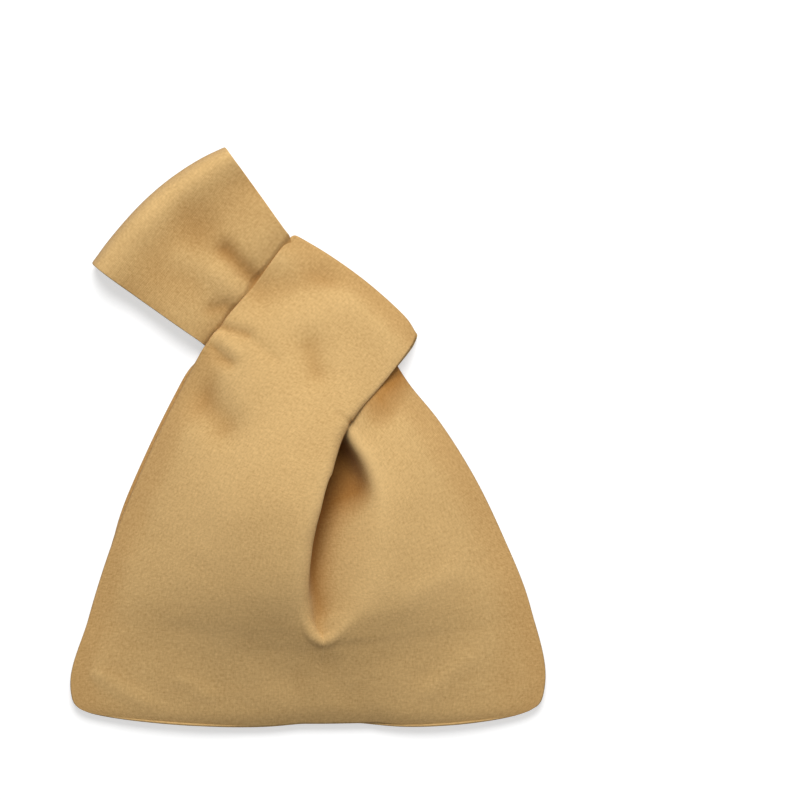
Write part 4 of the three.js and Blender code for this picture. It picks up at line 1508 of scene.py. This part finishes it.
def stitched(name, seam_names):
    """The stitches of some seams as one plain mesh."""
    lines, edges = [], []
    for seam in seam_names:
        start = len(lines)
        lines += [(edge[0] * MM, edge[1] * MM, SEAM_HEIGHT * MM) for edge, inside in paths[seam]]
        edges += [(i, i + 1) for i in range(start, len(lines) - 1)]
    mesh = bpy.data.meshes.new(name)
    mesh.from_pydata(lines, edges, [])
    made = new_object(name, mesh)
    row = made.modifiers.new("stitches", "NODES")
    row.node_group = STITCHES
    for item in STITCHES.interface.items_tree:
        if item.in_out == "INPUT" and item.name in STITCH_SIZES:
            row[item.identifier] = STITCH_SIZES[item.name]
    bake(made)
    flat = made.data.uv_layers.get("cut") or made.data.uv_layers.new(name="cut")
    for loop in made.data.loops:
        flat.data[loop.index].uv = made.data.vertices[loop.vertex_index].co.xy
    made.data.polygons.foreach_set("use_smooth", [True] * len(made.data.polygons))
    return made


pouch_stitches = stitched("pouch_stitches", ["left_seam", "right_seam", "bottom_seam", "loop_seam"])
tail_stitches = stitched("tail_stitches", ["tail_seam"])
print("stitches", len(pouch_stitches.data.polygons) + len(tail_stitches.data.polygons), "faces")

# %% [markdown]
# Each piece of the pouch, each seam and each row of stitches is now tied to the body it moves with, and
# the solids it stands for are hidden. The panels print how much of their flat cut they cover. Pieces could
# all be tied to the pouch, but then the knot would not move. The strap's pieces are tied to no body, and
# only their solids are hidden.

# %% Body and short loop
RIDES = {
    "front_canvas": "front_canvas_panel",
    "front_lining": "front_lining_panel",
    "back_canvas": "back_canvas_panel",
    "back_lining": "back_lining_panel",
}
PANEL_CUT = ((0.230, 0.276), 0.0528)  # body and short loop: width and length, and area
PANEL_LINING_CUT = ((0.216, 0.262), 0.0470)
for name, node in RIDES.items():
    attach(pieces[name], "pouch")
    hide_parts(node)
    flat, area = PANEL_CUT if name.endswith("canvas") else PANEL_LINING_CUT
    seen_area = sum(face.area for face in pieces[name].data.polygons) / 2
    print(name, "covers", round(seen_area / area, 2), "of its flat cut")

# %% Strap and wrist loop
TURN_BAND = (0.5, 12)  # u over which the wrist loop bends
root_at = (*(knot(STRAP_ROOT, 0) * MM), STRAP_FRONT * MM)
split_at = (*(knot(STRAP_SPLIT, 0) * MM), STRAP_FRONT * MM)
turn_from, turn_to = ((*(knot(u, 0) * MM), bend[2] * MM) for u in TURN_BAND)
for side in ("front", "back"):
    for cloth in ("canvas", "lining"):
        strap = pieces[f"strap_{side}_{cloth}"]
        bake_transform(strap)
        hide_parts(f"long_strap_{side}_{cloth}")
        tail = pieces[f"tail_{side}_{cloth}"]
        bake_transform(tail)
        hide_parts(f"wrist_loop_{side}_{cloth}")
print("the wrist loop bends over", TURN_BAND[1] - TURN_BAND[0], "mm")

# %% Seams and stitches
SEAM_NODES = {
    "left_seam": "left_side_seam",
    "right_seam": "right_side_seam",
    "bottom_seam": "bottom_seam",
    "loop_seam": "short_loop_top_seam",
    "tail_seam": "wrist_loop_end_seam",
}
for name, node in SEAM_NODES.items():
    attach(seams[name], "wrist_loop" if name == "tail_seam" else "pouch")
    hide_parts(node)
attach(pouch_stitches, "pouch")
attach(tail_stitches, "wrist_loop")
print("pieces", len(pieces) + len(seams) + 2)

# %% [markdown]
# The bag lies on a pale table, in even light from all round. A large soft lamp stands above the knot's
# side, and a small low one fills in from the right. One bare lamp would be simpler, but it would cut hard
# shadows into the folds. The table looks white because it glows a little towards the camera. That glow
# doesn't reach the bag.

# %% Table
TABLE_SIZE = 6.0
TABLE_GREY = (0.6, 0.6, 0.6, 1)
TABLE_ROUGH = 0.9
TABLE_GLOW = 0.55
WHITE = (1, 1, 1, 1)
table_mesh = bpy.data.meshes.new("table")
half_table = TABLE_SIZE / 2
table_corners = [(x * half_table, y * half_table, 0) for x, y in ((-1, -1), (1, -1), (1, 1), (-1, 1))]
table_mesh.from_pydata(table_corners, [], [(0, 1, 2, 3)])
table = new_object("table", table_mesh)
paper, paper_nodes, paper_surface = new_material("white_table")
paper_nodes.fill(paper_surface, {"Base Color": TABLE_GREY, "Roughness": TABLE_ROUGH})
rays = paper_nodes.node("ShaderNodeLightPath")
seen = rays.math("MAXIMUM", rays.output("Is Camera Ray"), rays.output("Is Glossy Ray"))
seen = rays.math("MAXIMUM", seen, rays.output("Is Transmission Ray"))
glow = paper_nodes.node("ShaderNodeEmission", inputs={"Color": WHITE, "Strength": seen * TABLE_GLOW})
bare = Wire(paper_nodes.tree, paper_surface.outputs[0])
both = paper_nodes.node("ShaderNodeAddShader", inputs={0: bare, 1: glow})
paper_nodes.fill(paper_nodes.tree.nodes["Material Output"], {"Surface": both})
table_mesh.materials.append(paper)
print("table", TABLE_SIZE, "m wide")

# %% Light
EVEN_LIGHT = 0.26
world = bpy.data.worlds.new("even_light")
bpy.context.scene.world = world
world.use_nodes = True
Nodes(world.node_tree).fill(world.node_tree.nodes["Background"], {"Color": WHITE, "Strength": EVEN_LIGHT})
LAMPS = {
    # place, size and power; both look at the bag's middle
    "soft_key": ((0.03, 1.01, 1.2), 1.0, 25.8),
    "low_fill": ((1.3, 0.25, 0.45), 0.8, 1.8),
}
for name, (place, size, power) in LAMPS.items():
    data = bpy.data.lights.new(name, "AREA")
    data.shape = "DISK"
    data.size = size
    data.energy = power
    lamp = new_object(name, data)
    lamp.location = place
    lamp.rotation_euler = (-Vector(place)).to_track_quat("-Z", "Y").to_euler()
print("lamps", sorted(LAMPS))

# %% [markdown]
# The camera looks straight down on the bag from well above, as it was photographed. A near camera with a
# short lens could see as much, but it would widen what stands high. The lens follows from the width that
# has to be seen at the table.

# %% Camera
VIEW_CENTRE = (0.0444, 0.0160)
VIEW_WIDTH = 0.3848  # metres of table across the picture
VIEW_HEIGHT = 1.5
SENSOR = 36
camera_data = bpy.data.cameras.new("camera")
camera_data.sensor_width = SENSOR
camera_data.lens = SENSOR * VIEW_HEIGHT / VIEW_WIDTH
camera = new_object("camera", camera_data)
camera.location = (*VIEW_CENTRE, VIEW_HEIGHT)
camera.rotation_euler = (0, 0, 0)
scene = bpy.context.scene
scene.camera = camera
scene.view_settings.view_transform = "Standard"
print("camera", VIEW_HEIGHT, "m above the table, lens", round(camera_data.lens))
